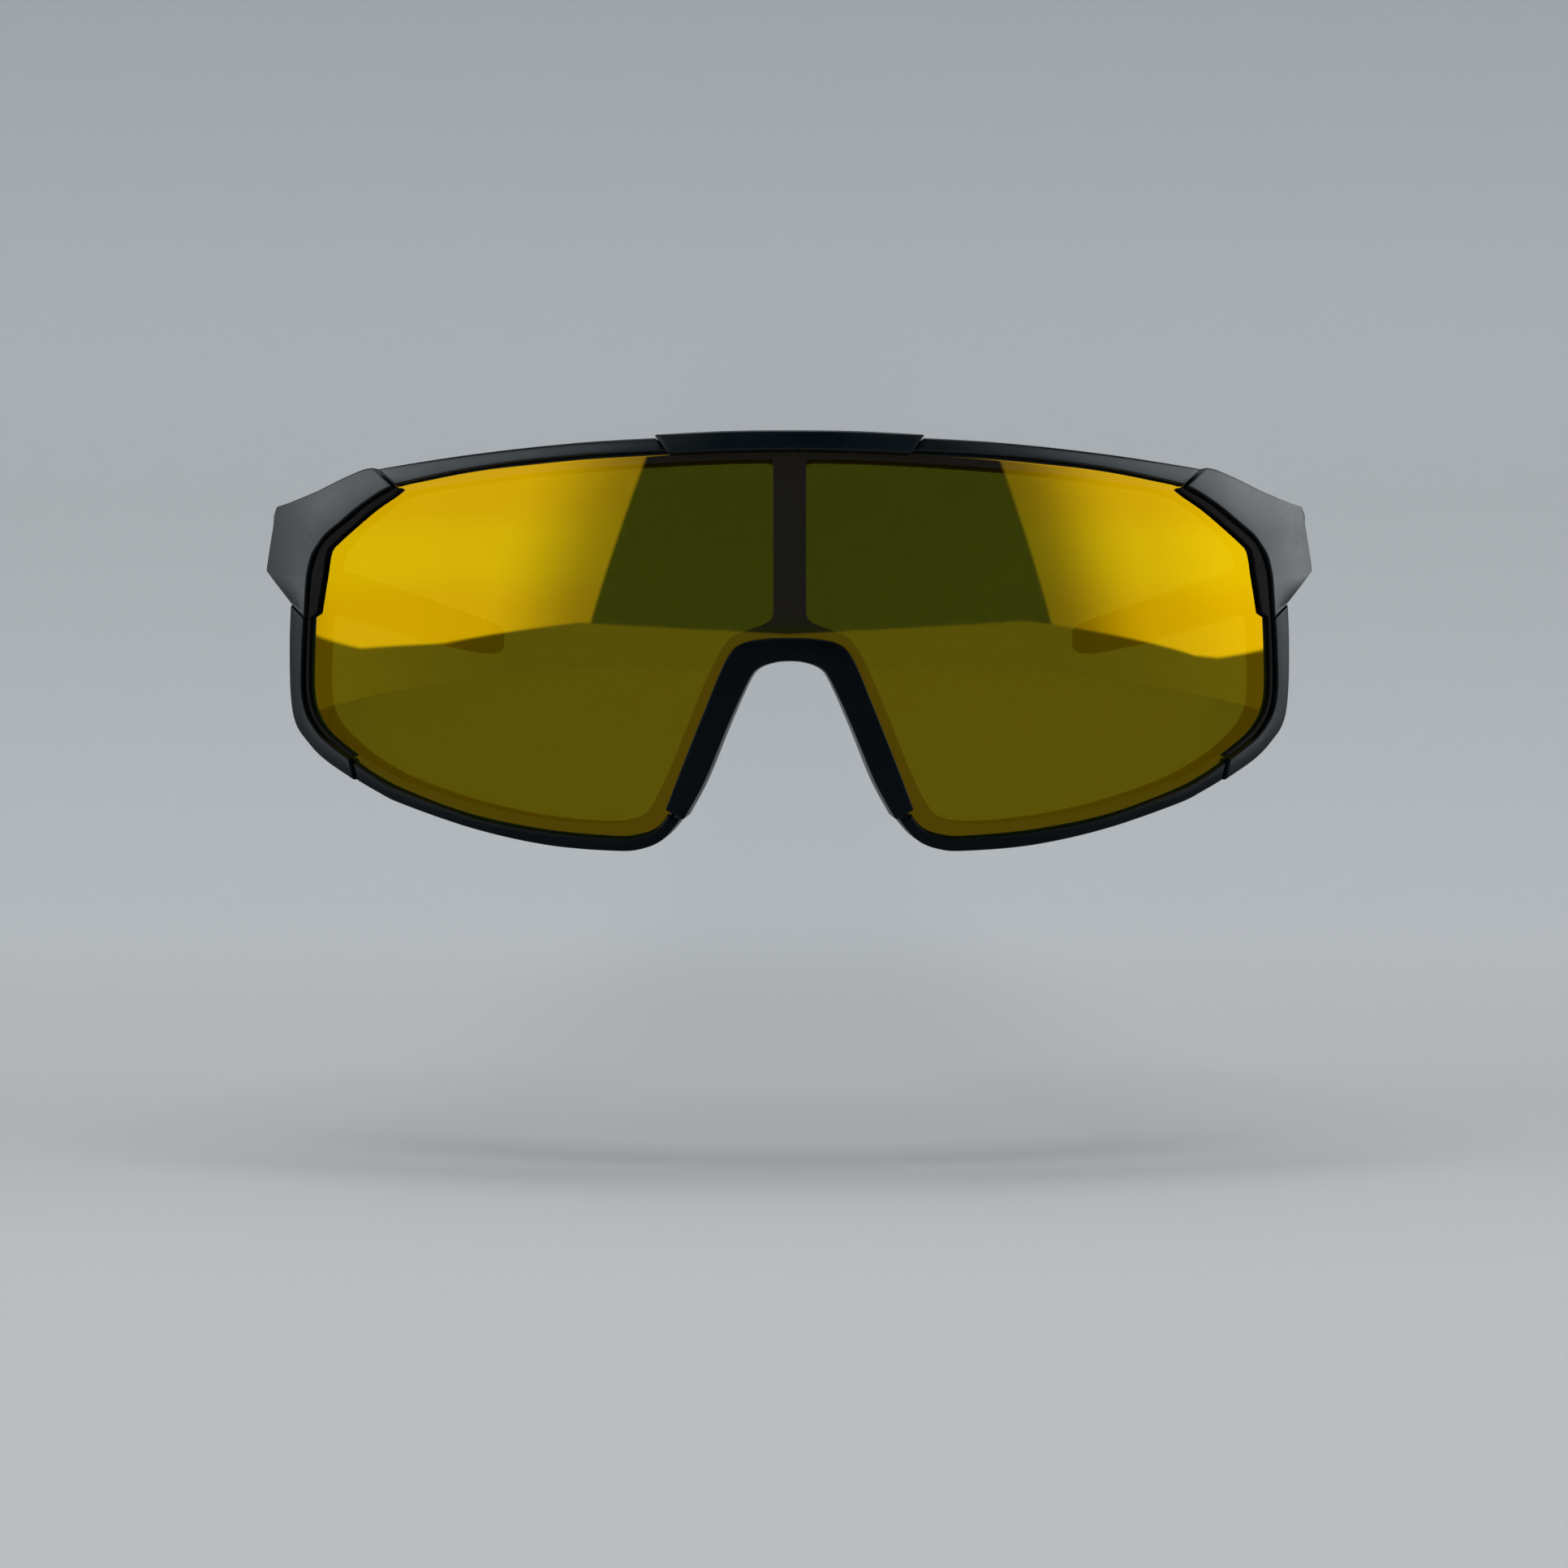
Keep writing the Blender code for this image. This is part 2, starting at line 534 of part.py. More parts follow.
def hang_on_axis(suffix, side, moving):
    """Parents the moving pieces of a temple to an empty on its hinge axis."""
    axis = bpy.data.objects.new("fold_axis_" + suffix, None)
    axis.location = place(side * HINGE_X, HINGE_Y, sum(HINGE_Z[2:4]) / 2)
    parts.objects.link(axis)
    for obj in moving:
        obj.parent = axis
        obj.matrix_parent_inverse = Matrix.Translation(-axis.location)


build_lens()
build_carrier()
build_brow()
build_bridge()
for side, suffix in ((1, "left"), (-1, "right")):
    build_rim(side, suffix)
    build_gasket(side, suffix)
    build_pad(side, suffix)
    endpiece = build_endpiece(side, suffix)
    arm, tip, core = build_temple(side, suffix)
    leaf, leaf_screw = build_hinge(side, suffix, endpiece, arm)
    hang_on_axis(suffix, side, (arm, tip, core, leaf, leaf_screw))
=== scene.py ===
"""Looks of the glacier glasses: fine meshes, node materials, studio light and camera.

Sizes are in millimetres, y counted back from the foremost point of the lens, until a point
is placed. The front follows one curved lens surface: rim pieces are given as (x, z) on that
surface and a height h along its outward normal, with h = 0 on the front of the lens.
"""
import math

import bmesh
import bpy
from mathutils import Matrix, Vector
from mathutils.geometry import intersect_point_line


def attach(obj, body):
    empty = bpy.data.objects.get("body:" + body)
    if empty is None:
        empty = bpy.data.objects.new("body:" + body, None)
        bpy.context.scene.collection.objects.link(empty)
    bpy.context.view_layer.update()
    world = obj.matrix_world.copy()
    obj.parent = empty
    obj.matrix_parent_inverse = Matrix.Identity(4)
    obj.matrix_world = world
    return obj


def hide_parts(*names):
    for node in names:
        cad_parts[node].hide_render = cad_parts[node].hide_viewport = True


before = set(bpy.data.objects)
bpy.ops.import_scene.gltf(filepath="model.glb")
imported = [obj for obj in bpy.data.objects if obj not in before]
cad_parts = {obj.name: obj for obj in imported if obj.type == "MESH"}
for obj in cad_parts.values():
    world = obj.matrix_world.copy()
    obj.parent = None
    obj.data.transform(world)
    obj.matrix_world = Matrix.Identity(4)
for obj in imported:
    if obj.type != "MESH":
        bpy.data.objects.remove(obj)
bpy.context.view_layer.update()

# ---------------------------------------------------------------- sizes (mm)
MM = 0.001
FRONT_Y = -82.7                                   # world y of the foremost point of the lens
LENS_WRAP_R, LENS_CROWN_R, LENS_MID_Z = 86.0, 180.0, 28.7
LENS_T, EDGE = 1.4, 0.35                          # thickness, and reach past the rim's opening
LAP, LIP, GROOVE, RIM_BACK = 0.8, 0.15, -3.0, -4.2     # the rim's groove: depth, front, back; rear
CARRIER_H, CARRIER_T = -1.7, 1.0
BAR_LOW_H, BAR_H, END_H, BRIDGE_H, GASKET_H = 0.45, 0.7, 1.0, 1.0, 0.55
CLIP_H, CLIP_BACK, CLIP_T = 1.3, 0.75, 0.6        # front, underside, and height over the bar
GASKET_TRIM, GASKET_TRIM_SHARE = 0.45, 0.3        # off its inner side, at most this share of it
HINGE_X, HINGE_Y = 67.2, 46.2
HINGE_Z = (39.6, 41.4, 41.7, 43.5, 43.8, 45.6)    # foot and top of the three knuckles
KNUCKLE_R, PIN_R, GAP = 1.7, 0.6, 0.3
FLANGE_T, FLANGE_GAP = 1.3, 0.4                   # flange thickness, and distance from the knuckles
WEB_IN, WEB_SINK, WEB_OVERLAP = 0.2, 0.02, 0.5    # how far a web runs into knuckle and flange
BLOCK_LENGTH, LEAF_LENGTH = 5.6, 8.6
LEAF_BELOW, LEAF_ABOVE = 0.6, 0.2
HEAD_R, HEAD_T, SCREW_DEPTH = 1.2, 0.6, 1.4
HEAD_CROWN = ((0.3, 0), (0.12, -0.06), (0, -0.2))      # in from the head's side, and z from its top
RECESS_DEPTH, RECESS_HALF, RECESS_WIDTH_HALF = 0.7, 0.7, 0.13
WALL_X, OUTER_X, CORNER_Y, SEAT_GAP = 69.3, 72.3, 40.2, 0.2     # the endpiece's rear wall
WALL_LOW_Z, WALL_DROP = 38.5, 0.4
WALL_IN, HOOK_IN = 0.8, 1.3                       # rear corners, in from the outer edge
WIRE_R = 0.7
CORE = ((60.9, 114.0, 35.7), (53.6, 149.0, 34.1))
STRAIGHT_Y = 72.0                                 # the arm runs straight behind this
ARC = 4                                           # steps in each rounded corner
BAR_ARC = 6                                       # the same on arms and tips
ROUND = 48                                        # sides of a round piece
SHARP, HINGE_SHARP = 40, 35                       # edges above this angle stay sharp, degrees
STRIP_END, ENDPIECE_END, GASKET_END = 0.18, 0.12, 0.08    # rounding of the pieces' ends
PAD_END, BAR_END = 0.35, 0.15
PAD_SECTION = (           # dx, dx for each mm of reach, dz, share of reach behind the rim, and more
    (0.0, 0.0, 0.0, 0.0, GAP), (1.7, 0.0, 0.7, 0.0, GAP), (1.9, 0.55, 0.5, 1.0, 0.0),
    (1.3, 0.6, 0.0, 1.0, 0.9), (0.0, 0.5, -0.4, 1.0, 0.5),
)

# ---------------------------------------------------------------- outlines (mm)
# Rim pieces: (x, z) on the lens side, then on the outer side, station by station along the
# piece. A third value in END_... is how far the rear is drawn back to the hinge wall.
# OPENING: upper and lower edge. WINDOW: edge of the clear part. POST: edge and middle line.
# PAD: (x, z) of the root, and reach. ARM and TIP: y, x inside and outside, z below and above.
OPENING = [
    ((0.0, 51.6), (0.0, 27.3)), ((3.5, 51.6), (3.1, 27.2)), ((6.5, 51.6), (6.3, 26.5)),
    ((9.0, 51.55), (8.2, 24.35)), ((12.5, 51.5), (12.3, 14.3)), ((16.0, 51.4), (15.35, 6.75)),
    ((18.5, 51.35), (15.75, 4.6)), ((22.0, 51.25), (17.3, 2.65)), ((25.0, 51.15), (19.8, 1.85)),
    ((28.0, 51.0), (22.6, 1.7)), ((33.5, 50.6), (31.3, 2.45)), ((40.2, 50.05), (41.1, 4.3)),
    ((47.3, 49.1), (49.0, 6.9)), ((52.4, 48.1), (55.4, 9.85)), ((58.8, 44.3), (60.3, 13.3)),
    ((63.2, 40.8), (63.0, 15.5)), ((64.8, 36.8), (64.8, 18.1)), ((65.2, 31.3), (65.55, 21.6)),
]
BAR_MIDDLE = [
    ((0.0, 51.6), (0.0, 52.9)), ((8.0, 51.55), (8.6, 52.8)), ((15.6, 51.4), (16.55, 52.6)),
]
BAR_OUTER = [
    ((16.0, 51.4), (17.2, 53.15)), ((24.9, 51.15), (24.9, 52.9)), ((31.3, 50.8), (31.3, 52.55)),
    ((37.8, 50.3), (37.8, 52.1)), ((44.3, 49.55), (44.7, 51.55)), ((52.1, 48.35), (54.4, 50.65)),
]
CLIP = [((0.0, 51.35), (0.0, 53.85)), ((7.7, 51.25), (7.8, 53.8)), ((15.45, 51.0), (17.1, 53.45))]
END_TOP = [
    ((52.35, 48.1), (55.05, 50.8), 0.0), ((54.3, 47.2), (56.6, 50.65), 0.0),
    ((57.0, 45.65), (59.9, 49.6), 0.0), ((59.6, 43.85), (63.5, 48.25), 0.1),
    ((61.9, 42.25), (67.2, 47.2), 0.5), ((63.1, 40.9), (69.62, 46.74), 1.0),
]
END_SIDE = [
    ((63.2, 40.8), (69.7, 46.56), 1.0), ((64.1, 39.4), (70.45, 42.8), 1.0),
    ((64.75, 36.95), (71.25, 38.4), 1.0),
]
END_FOOT = [
    ((64.8, 36.6), (71.2, 38.0), 0.95), ((65.0, 34.0), (69.3, 35.7), 0.25),
    ((65.15, 31.35), (67.25, 33.4), 0.0),
]
SIDE_RIM = [
    ((65.2, 31.15), (67.35, 33.15)), ((65.45, 27.0), (67.55, 28.3)), ((65.55, 21.4), (67.45, 21.3)),
    ((64.8, 18.1), (66.7, 17.1)), ((63.1, 15.55), (64.7, 14.35)), ((61.2, 13.95), (62.1, 11.95)),
    ((58.4, 12.0), (57.75, 9.25)),
]
LOWER_RIM = [
    ((58.0, 11.6), (57.4, 9.15)), ((54.7, 9.45), (54.7, 7.7)), ((51.2, 7.8), (51.2, 6.1)),
    ((41.1, 4.3), (41.1, 2.85)), ((31.3, 2.45), (31.3, 0.8)), ((22.6, 1.7), (22.4, 0.1)),
    ((19.2, 2.0), (18.9, 0.4)), ((17.0, 2.95), (16.3, 1.55)), ((15.5, 4.75), (14.1, 3.95)),
]
BRIDGE = [
    ((0.0, 27.3), (0.0, 24.4)), ((3.1, 27.2), (1.8, 24.25)), ((6.3, 26.5), (3.9, 23.5)),
    ((8.2, 24.35), (5.2, 21.9)), ((10.8, 18.2), (7.7, 16.5)), ((13.9, 10.45), (10.8, 9.1)),
    ((15.8, 5.5), (13.5, 4.2)),
]
GASKET_WIDE = [
    ((51.7, 48.05), (51.05, 47.6)), ((53.0, 47.4), (52.2, 46.7)), ((55.7, 46.1), (55.2, 44.85)),
    ((58.7, 44.0), (58.5, 42.5)), ((61.2, 42.35), (60.8, 40.75)), ((62.95, 40.7), (61.75, 39.6)),
    ((64.25, 37.6), (62.25, 36.6)), ((64.65, 34.0), (62.75, 33.8)), ((64.85, 31.7), (63.1, 31.9)),
]
GASKET_NARROW = [
    ((64.9, 31.2), (64.35, 31.4)), ((65.15, 27.0), (64.5, 27.0)), ((65.2, 21.5), (64.55, 21.6)),
    ((64.5, 18.35), (63.95, 18.65)), ((62.85, 15.85), (62.45, 16.3)), ((60.95, 14.25), (60.65, 14.7)),
    ((58.3, 12.35), (58.0, 12.75)),
]
WINDOW = [
    (3.0, 50.3), (9.6, 50.2), (22.5, 49.7), (33.0, 49.1), (43.0, 48.2), (51.8, 47.1),
    (57.2, 44.2), (60.9, 41.0), (62.4, 38.6), (63.6, 32.0), (64.2, 27.0), (64.1, 20.6),
    (63.2, 17.8), (61.4, 15.6), (57.4, 12.5), (51.3, 9.3), (41.0, 6.0), (31.0, 4.1),
    (23.0, 3.6), (19.4, 4.4), (17.7, 6.0), (15.2, 11.0), (12.8, 17.0), (10.2, 23.1),
    (8.0, 27.0), (6.0, 28.1), (4.4, 28.7),
]
WINDOW_LAYER = "window_depth"                     # attribute of the lens's vertices
POST = [
    ((3.3, 29.1), (0.0, 27.0)), ((2.4, 29.7), (0.0, 29.0)), ((2.1, 30.7), (0.0, 30.7)),
    ((2.1, 40.0), (0.0, 40.0)), ((2.1, 49.6), (0.0, 49.6)), ((2.4, 50.1), (0.0, 51.8)),
]
PAD = [
    ((6.7, 19.6), 4.0), ((7.9, 16.8), 7.0), ((9.4, 13.2), 8.0), ((10.9, 9.7), 7.4),
    ((12.1, 6.9), 4.4),
]
ARM = [
    (46.5, 69.3, 72.3, 38.5, 46.4), (50.0, 69.3, 72.4, 37.9, 45.8), (56.0, 69.3, 72.2, 36.5, 44.2),
    (62.0, 68.6, 71.3, 35.3, 42.4), (72.0, 67.1, 69.8, 34.2, 41.1), (124.0, 57.6, 60.4, 32.0, 38.7),
]
TIP = [
    (124.1, 57.26, 60.66, 31.8, 38.8), (135.0, 54.9, 58.5, 31.5, 38.0), (150.0, 51.6, 55.4, 31.1, 37.1),
    (160.0, 49.5, 53.3, 31.0, 36.4), (164.5, 48.9, 52.1, 31.4, 35.9), (166.4, 49.4, 51.3, 32.4, 35.0),
]


# ---------------------------------------------------------------- geometry helpers
def place(x, y, z):
    return Vector((x, y + FRONT_Y, z)) * MM


def on_lens(x, z, h, side=1):
    root = math.sqrt(LENS_WRAP_R ** 2 - x * x)
    slope_x, slope_z = x / root, (z - LENS_MID_Z) / LENS_CROWN_R
    depth = LENS_WRAP_R - root + (z - LENS_MID_Z) ** 2 / (2 * LENS_CROWN_R)
    lift = h / math.sqrt(1 + slope_x ** 2 + slope_z ** 2)
    return place(side * (x + slope_x * lift), depth - lift, z + slope_z * lift)


def refine(stations, cuts):
    """Extra stations on a smooth curve through the given ones (any nesting of numbers)."""
    def mix(a, b, c, d, t):
        if isinstance(a, tuple):
            return tuple(mix(*values, t) for values in zip(a, b, c, d))
        return b + 0.5 * t * (c - a + t * (2 * a - 5 * b + 4 * c - d + t * (3 * (b - c) + d - a)))

    out = []
    last = len(stations) - 1
    for i in range(last):
        four = [stations[min(max(i + k, 0), last)] for k in (-1, 0, 1, 2)]
        out += [mix(*four, step / cuts) for step in range(cuts)]
    return out + [stations[last]]


def both_halves(stations):
    """Stations of a piece that crosses the middle, from -X to +X."""
    def flip(station):
        return tuple((-x, z) for x, z in station[:2]) + station[2:]
    return [flip(station) for station in reversed(stations[1:])] + stations


def across(station, share, offset=0.0):
    inner, outer = Vector(station[0]), Vector(station[1])
    return inner + (outer - inner) * share + (outer - inner).normalized() * offset


def push_out(points, distance):
    out = []
    for i, point in enumerate(points):
        before, after = points[max(i - 1, 0)], points[min(i + 1, len(points) - 1)]
        run = (Vector(after) - Vector(before)).normalized()
        out.append((point[0] - run.y * distance, point[1] + run.x * distance))
    return out


def nearest(line, point):
    spots = []
    for a, b in zip(line, line[1:]):
        _, share = intersect_point_line(Vector(point), Vector(a), Vector(b))
        share = min(max(share, 0.0), 1.0)
        spots.append(tuple(Vector(a).lerp(Vector(b), share)))
    return min(spots, key=lambda shadow_distance: math.dist(shadow_distance, point))


def rounded(ring, radii, steps=ARC):
    """The closed ring with its corners turned into arcs of the given radii (mm)."""
    most = 0.48                               # share of an edge that one arc may take
    out = []
    for i, corner in enumerate(ring):
        if radii[i] == 0:
            out.append(corner)
            continue
        to_last, to_next = ring[i - 1] - corner, ring[(i + 1) % len(ring)] - corner
        half = to_last.angle(to_next) / 2
        reach = min(radii[i] * MM / math.tan(half), most * to_last.length, most * to_next.length)
        start, end = corner + to_last.normalized() * reach, corner + to_next.normalized() * reach
        for k in range(steps + 1):
            t = k / steps
            a, b, c = (1 - t) ** 2, 2 * t * (1 - t) * math.sin(half), t * t
            out.append((start * a + corner * b + end * c) / (a + b + c))
    return out


def inset_ring(ring, run, distance):
    """The ring drawn in by distance (m), within the plane across run."""
    centre = sum(ring, Vector()) / len(ring)
    turn = sum(((ring[i - 1] - centre).cross(p - centre) for i, p in enumerate(ring)), Vector())
    axis = run.normalized() * math.copysign(1, turn.dot(run))
    out = []
    for i, point in enumerate(ring):
        along = ring[(i + 1) % len(ring)] - ring[i - 1]
        out.append(point + axis.cross(along).normalized() * distance)
    return out


def round_ends(rings, radius):
    """Rings with the ends of the body rounded off by radius (mm)."""
    steps = 3

    def end(ring, other):
        run = sum(other, Vector()) / len(other) - sum(ring, Vector()) / len(ring)
        out = []
        for k in range(steps + 1):
            angle = math.radians(90 * k / steps)
            forward = radius * MM * (1 - math.cos(angle)) / run.length
            moved = [a.lerp(b, forward) for a, b in zip(ring, other)]
            out.append(inset_ring(moved, run, radius * MM * (1 - math.sin(angle))))
        return out

    return end(rings[0], rings[1]) + rings[1:-1] + end(rings[-1], rings[-2])[::-1]


# ---------------------------------------------------------------- pieces
def new_object(name, bm):
    mesh = bpy.data.meshes.new(name)
    bm.to_mesh(mesh)
    bm.free()
    mesh.shade_smooth()
    mesh.set_sharp_from_angle(angle=math.radians(SHARP))
    obj = bpy.data.objects.new(name, mesh)
    bpy.context.scene.collection.objects.link(obj)
    return obj


def dress(obj, node, body, slot, *materials):
    """The piece stands for a CAD node, rides on its body and gets its materials."""
    obj.name = node + ".fine"
    for material in materials:
        obj.data.materials.append(material)
    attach(obj, body)
    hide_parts(node)
    return obj


def loft(name, rings):
    bm = bmesh.new()
    rows = [[bm.verts.new(point) for point in ring] for ring in rings]
    size = len(rows[0])
    for a, b in zip(rows, rows[1:]):
        for k in range(size):
            bm.faces.new((a[k], a[(k + 1) % size], b[(k + 1) % size], b[k]))
    bm.faces.new(rows[0])
    bm.faces.new(rows[-1])
    bmesh.ops.recalc_face_normals(bm, faces=bm.faces)
    return new_object(name, bm)


def strip(name, stations, section, radii, side=1, ends=STRIP_END):
    """A rim piece: section(station) gives its corners as (share across, mm past that, h)."""
    rings = []
    for station in stations:
        ring = []
        for share, offset, h in section(station):
            point = across(station, share, offset)
            ring.append(on_lens(point.x, point.y, h, side))
        rings.append(rounded(ring, radii))
    return loft(name, round_ends(rings, ends))


def grooved(front):
    """Corners of a rim section with a groove for the lens."""
    return [
        (0, 0, front), (1, 0, front), (1, 0, RIM_BACK), (0, 0, RIM_BACK),
        (0, 0, GROOVE), (0, LAP, GROOVE), (0, LAP, LIP), (0, 0, LIP),
    ]


GROOVED_RADII = (0.22, 0.4, 0.6, 0.35, 0.15, 0, 0, 0.08)
ENDPIECE_RADII = (0.22, 0.4, 0.2, 0.15, 0.3, 0.3, 0.15, 0, 0, 0.08)
CLIP_RADII = (0.1, 0.2, 0.4, 0.25, 0.1, 0.1)
GASKET_RADII = (0.05, 0.12, 0.12, 0.05)
PAD_RADII = (0.3, 0.4, 0.8, 0.6, 0.6)


def apply_modifiers(obj):
    """The object's mesh becomes what its modifiers make of it."""
    bpy.context.view_layer.update()
    graph = bpy.context.evaluated_depsgraph_get()
    mesh = bpy.data.meshes.new_from_object(obj.evaluated_get(graph))
    obj.modifiers.clear()
    obj.data = mesh


def combine(obj, other, operation):
    modifier = obj.modifiers.new(operation.lower(), "BOOLEAN")
    modifier.operation = operation
    modifier.solver = "EXACT"
    modifier.object = other
    apply_modifiers(obj)
    bpy.data.objects.remove(other, do_unlink=True)


def cylinder(name, start, end, radius, bevel=0.0):
    bm = bmesh.new()
    bmesh.ops.create_cone(bm, cap_ends=True, segments=ROUND, radius1=radius * MM,
                          radius2=radius * MM, depth=(end - start).length)
    if bevel:
        tiny = 1e-9
        rims = [edge for edge in bm.edges if abs(edge.verts[0].co.z - edge.verts[1].co.z) < tiny]
        bmesh.ops.bevel(bm, geom=rims, offset=bevel * MM, segments=2, affect="EDGES", profile=0.5)
    turn = (end - start).to_track_quat("Z", "Y").to_matrix().to_4x4()
    bmesh.ops.transform(bm, matrix=turn, verts=bm.verts)
    bmesh.ops.translate(bm, vec=(start + end) / 2, verts=bm.verts)
    return new_object(name, bm)


def block(name, x_span, y_span, z_span, bevel=0.0):
    low, high = (place(*corner) for corner in zip(x_span, y_span, z_span))
    bm = bmesh.new()
    bmesh.ops.create_cube(bm, size=1.0)
    bmesh.ops.scale(bm, verts=bm.verts, vec=[abs(value) for value in high - low])
    bmesh.ops.translate(bm, vec=(low + high) / 2, verts=bm.verts)
    if bevel:
        bmesh.ops.bevel(bm, geom=bm.edges[:], offset=bevel * MM, segments=3, affect="EDGES",
                        profile=0.5)
    return new_object(name, bm)


def fastener(name, head, direction, length, cross=True):
    """A turned screw or pin with its head's outer end at head; screws get a cross recess."""
    crown = [(HEAD_R - inward, z) for inward, z in HEAD_CROWN]
    profile = [(0, 0), *crown, (HEAD_R, -HEAD_T), (PIN_R, -HEAD_T), (PIN_R, -length), (0, -length)]
    bm = bmesh.new()
    points = [bm.verts.new((x * MM, 0, z * MM)) for x, z in profile]
    edges = [bm.edges.new(pair) for pair in zip(points, points[1:])]
    bmesh.ops.spin(bm, geom=points + edges, cent=(0, 0, 0), axis=(0, 0, 1), steps=ROUND,
                   angle=2 * math.pi, use_merge=True)
    bmesh.ops.remove_doubles(bm, verts=bm.verts, dist=1e-7)
    bmesh.ops.recalc_face_normals(bm, faces=bm.faces)
    turn = (-direction).to_track_quat("Z", "Y").to_matrix().to_4x4()
    bmesh.ops.transform(bm, matrix=turn, verts=bm.verts)
    bmesh.ops.translate(bm, vec=head, verts=bm.verts)
    obj = new_object(name, bm)
    if cross:
        halves = (RECESS_WIDTH_HALF, RECESS_HALF)
        for half_y, half_z in (halves, halves[::-1]):
            size = Vector((RECESS_DEPTH, 2 * half_y, 2 * half_z)) * MM
            bm = bmesh.new()
            bmesh.ops.create_cube(bm, size=1.0)
            bmesh.ops.scale(bm, vec=size, verts=bm.verts)
            bmesh.ops.translate(bm, vec=head, verts=bm.verts)
            combine(obj, new_object("recess", bm), "DIFFERENCE")
    return obj


# ---------------------------------------------------------------- material nodes
class Nodes:
    """A small writer for one node tree."""

    def __init__(self, tree):
        self.tree = tree
        tree.nodes.clear()

    def add(self, kind, inputs=(), **settings):
        node = self.tree.nodes.new("ShaderNode" + kind)
        for name, value in settings.items():
            setattr(node, name, value)
        for key, value in dict(inputs).items():
            if isinstance(value, bpy.types.NodeSocket):
                self.tree.links.new(value, node.inputs[key])
            else:
                node.inputs[key].default_value = value
        return node

    def math(self, operation, a, b=0.0, c=0.0):
        return self.add("Math", {0: a, 1: b, 2: c}, operation=operation).outputs[0]

    def ramp(self, value, low, high, to_low=0.0, to_high=1.0, kind="SMOOTHSTEP"):
        inputs = {0: value, 1: low, 2: high, 3: to_low, 4: to_high}
        return self.add("MapRange", inputs, interpolation_type=kind).outputs[0]

    def noise(self, vector, scale, detail=3.0):
        node = self.add("TexNoise", {"Vector": vector, "Scale": scale, "Detail": detail})
        return node.outputs["Fac"]

    def tint(self, factor, low, high):
        """A colour from low to high, each one (r, g, b) or a socket."""
        ends = [colour if isinstance(colour, bpy.types.NodeSocket) else (*colour, 1.0)
                for colour in (low, high)]
        inputs = {0: factor, 6: ends[0], 7: ends[1]}
        return self.add("Mix", inputs, data_type="RGBA").outputs[2]

    def surface(self, shader):
        self.add("OutputMaterial", {"Surface": shader})


def new_material(name):
    material = bpy.data.materials.new(name)
    material.use_nodes = True
    return material, Nodes(material.node_tree)


COOL_GLOSS = (0.84, 0.95, 1.0, 1.0)
PATCH_SCALE, PATCH_SPAN = 90.0, (0.3, 0.7)        # per metre, and the noise levels it runs between
PATCH_ROUGH, GRAIN_ROUGH = 0.04, 0.1              # how much patches and grain change the roughness
GRAIN_HEIGHT = 0.05 * MM


def solid_material(name, dark, light, rough, specular, grain, depth, metallic=0.0, ior=1.5,
                   stretch=None):
    """Plastic, rubber or metal: uneven colour and roughness, and a fine moulded grain."""
    material, nodes = new_material(name)
    where = nodes.add("TexCoord").outputs["Object"]
    patches = nodes.noise(where, scale=PATCH_SCALE)
    fine = where
    if stretch:
        fine = nodes.add("Mapping", {"Vector": where, "Scale": stretch}).outputs[0]
    grains = nodes.noise(fine, grain, detail=2.0)
    bump = nodes.add("Bump", {"Strength": depth, "Distance": GRAIN_HEIGHT, "Height": grains})
    worn = nodes.ramp(patches, *PATCH_SPAN, to_low=-PATCH_ROUGH, to_high=PATCH_ROUGH)
    level = nodes.math("MULTIPLY_ADD", grains, GRAIN_ROUGH, worn)
    shader = nodes.add("BsdfPrincipled", {
        "Base Color": nodes.tint(nodes.ramp(patches, *PATCH_SPAN), dark, light),
        "Roughness": nodes.math("ADD", level, rough - GRAIN_ROUGH / 2),
        "Specular IOR Level": specular, "Specular Tint": COOL_GLOSS,
        "Metallic": metallic, "IOR": ior, "Normal": bump.outputs[0],
    })
    nodes.surface(shader.outputs[0])
    return material


COAT_SHARE = 0.5                                  # mirror coat's share over tint and ink
COAT_GOLD, COAT_AMBER = (0.30, 0.194, 0.0), (0.285, 0.168, 0.0)
BAND_Z, BAND_INNER, BAND_OUTER = 38.8 * MM, 1.5 * MM, 7.0 * MM    # the golden band
BAND_WAVE = 0.004
HAZE_SPAN = (0.35, 0.75)                          # noise levels between clean and hazy gloss
LENS_TINT = (0.15, 0.175, 0.012, 1.0)
INK_LOW = ((0.015, 0.03, 0.006), (0.02, 0.036, 0.009))
INK_HIGH = ((0.012, 0.018, 0.024), (0.016, 0.022, 0.03))
INK_TURN = (27.0 * MM, 31.0 * MM)                 # the ink goes from INK_LOW to INK_HIGH here
INK_EDGE = 0.04                                   # half the width of the ink's soft edge (mm)
CLEAR, INNER_GLOSS = (0.98, 0.98, 0.96, 1.0), 0.03


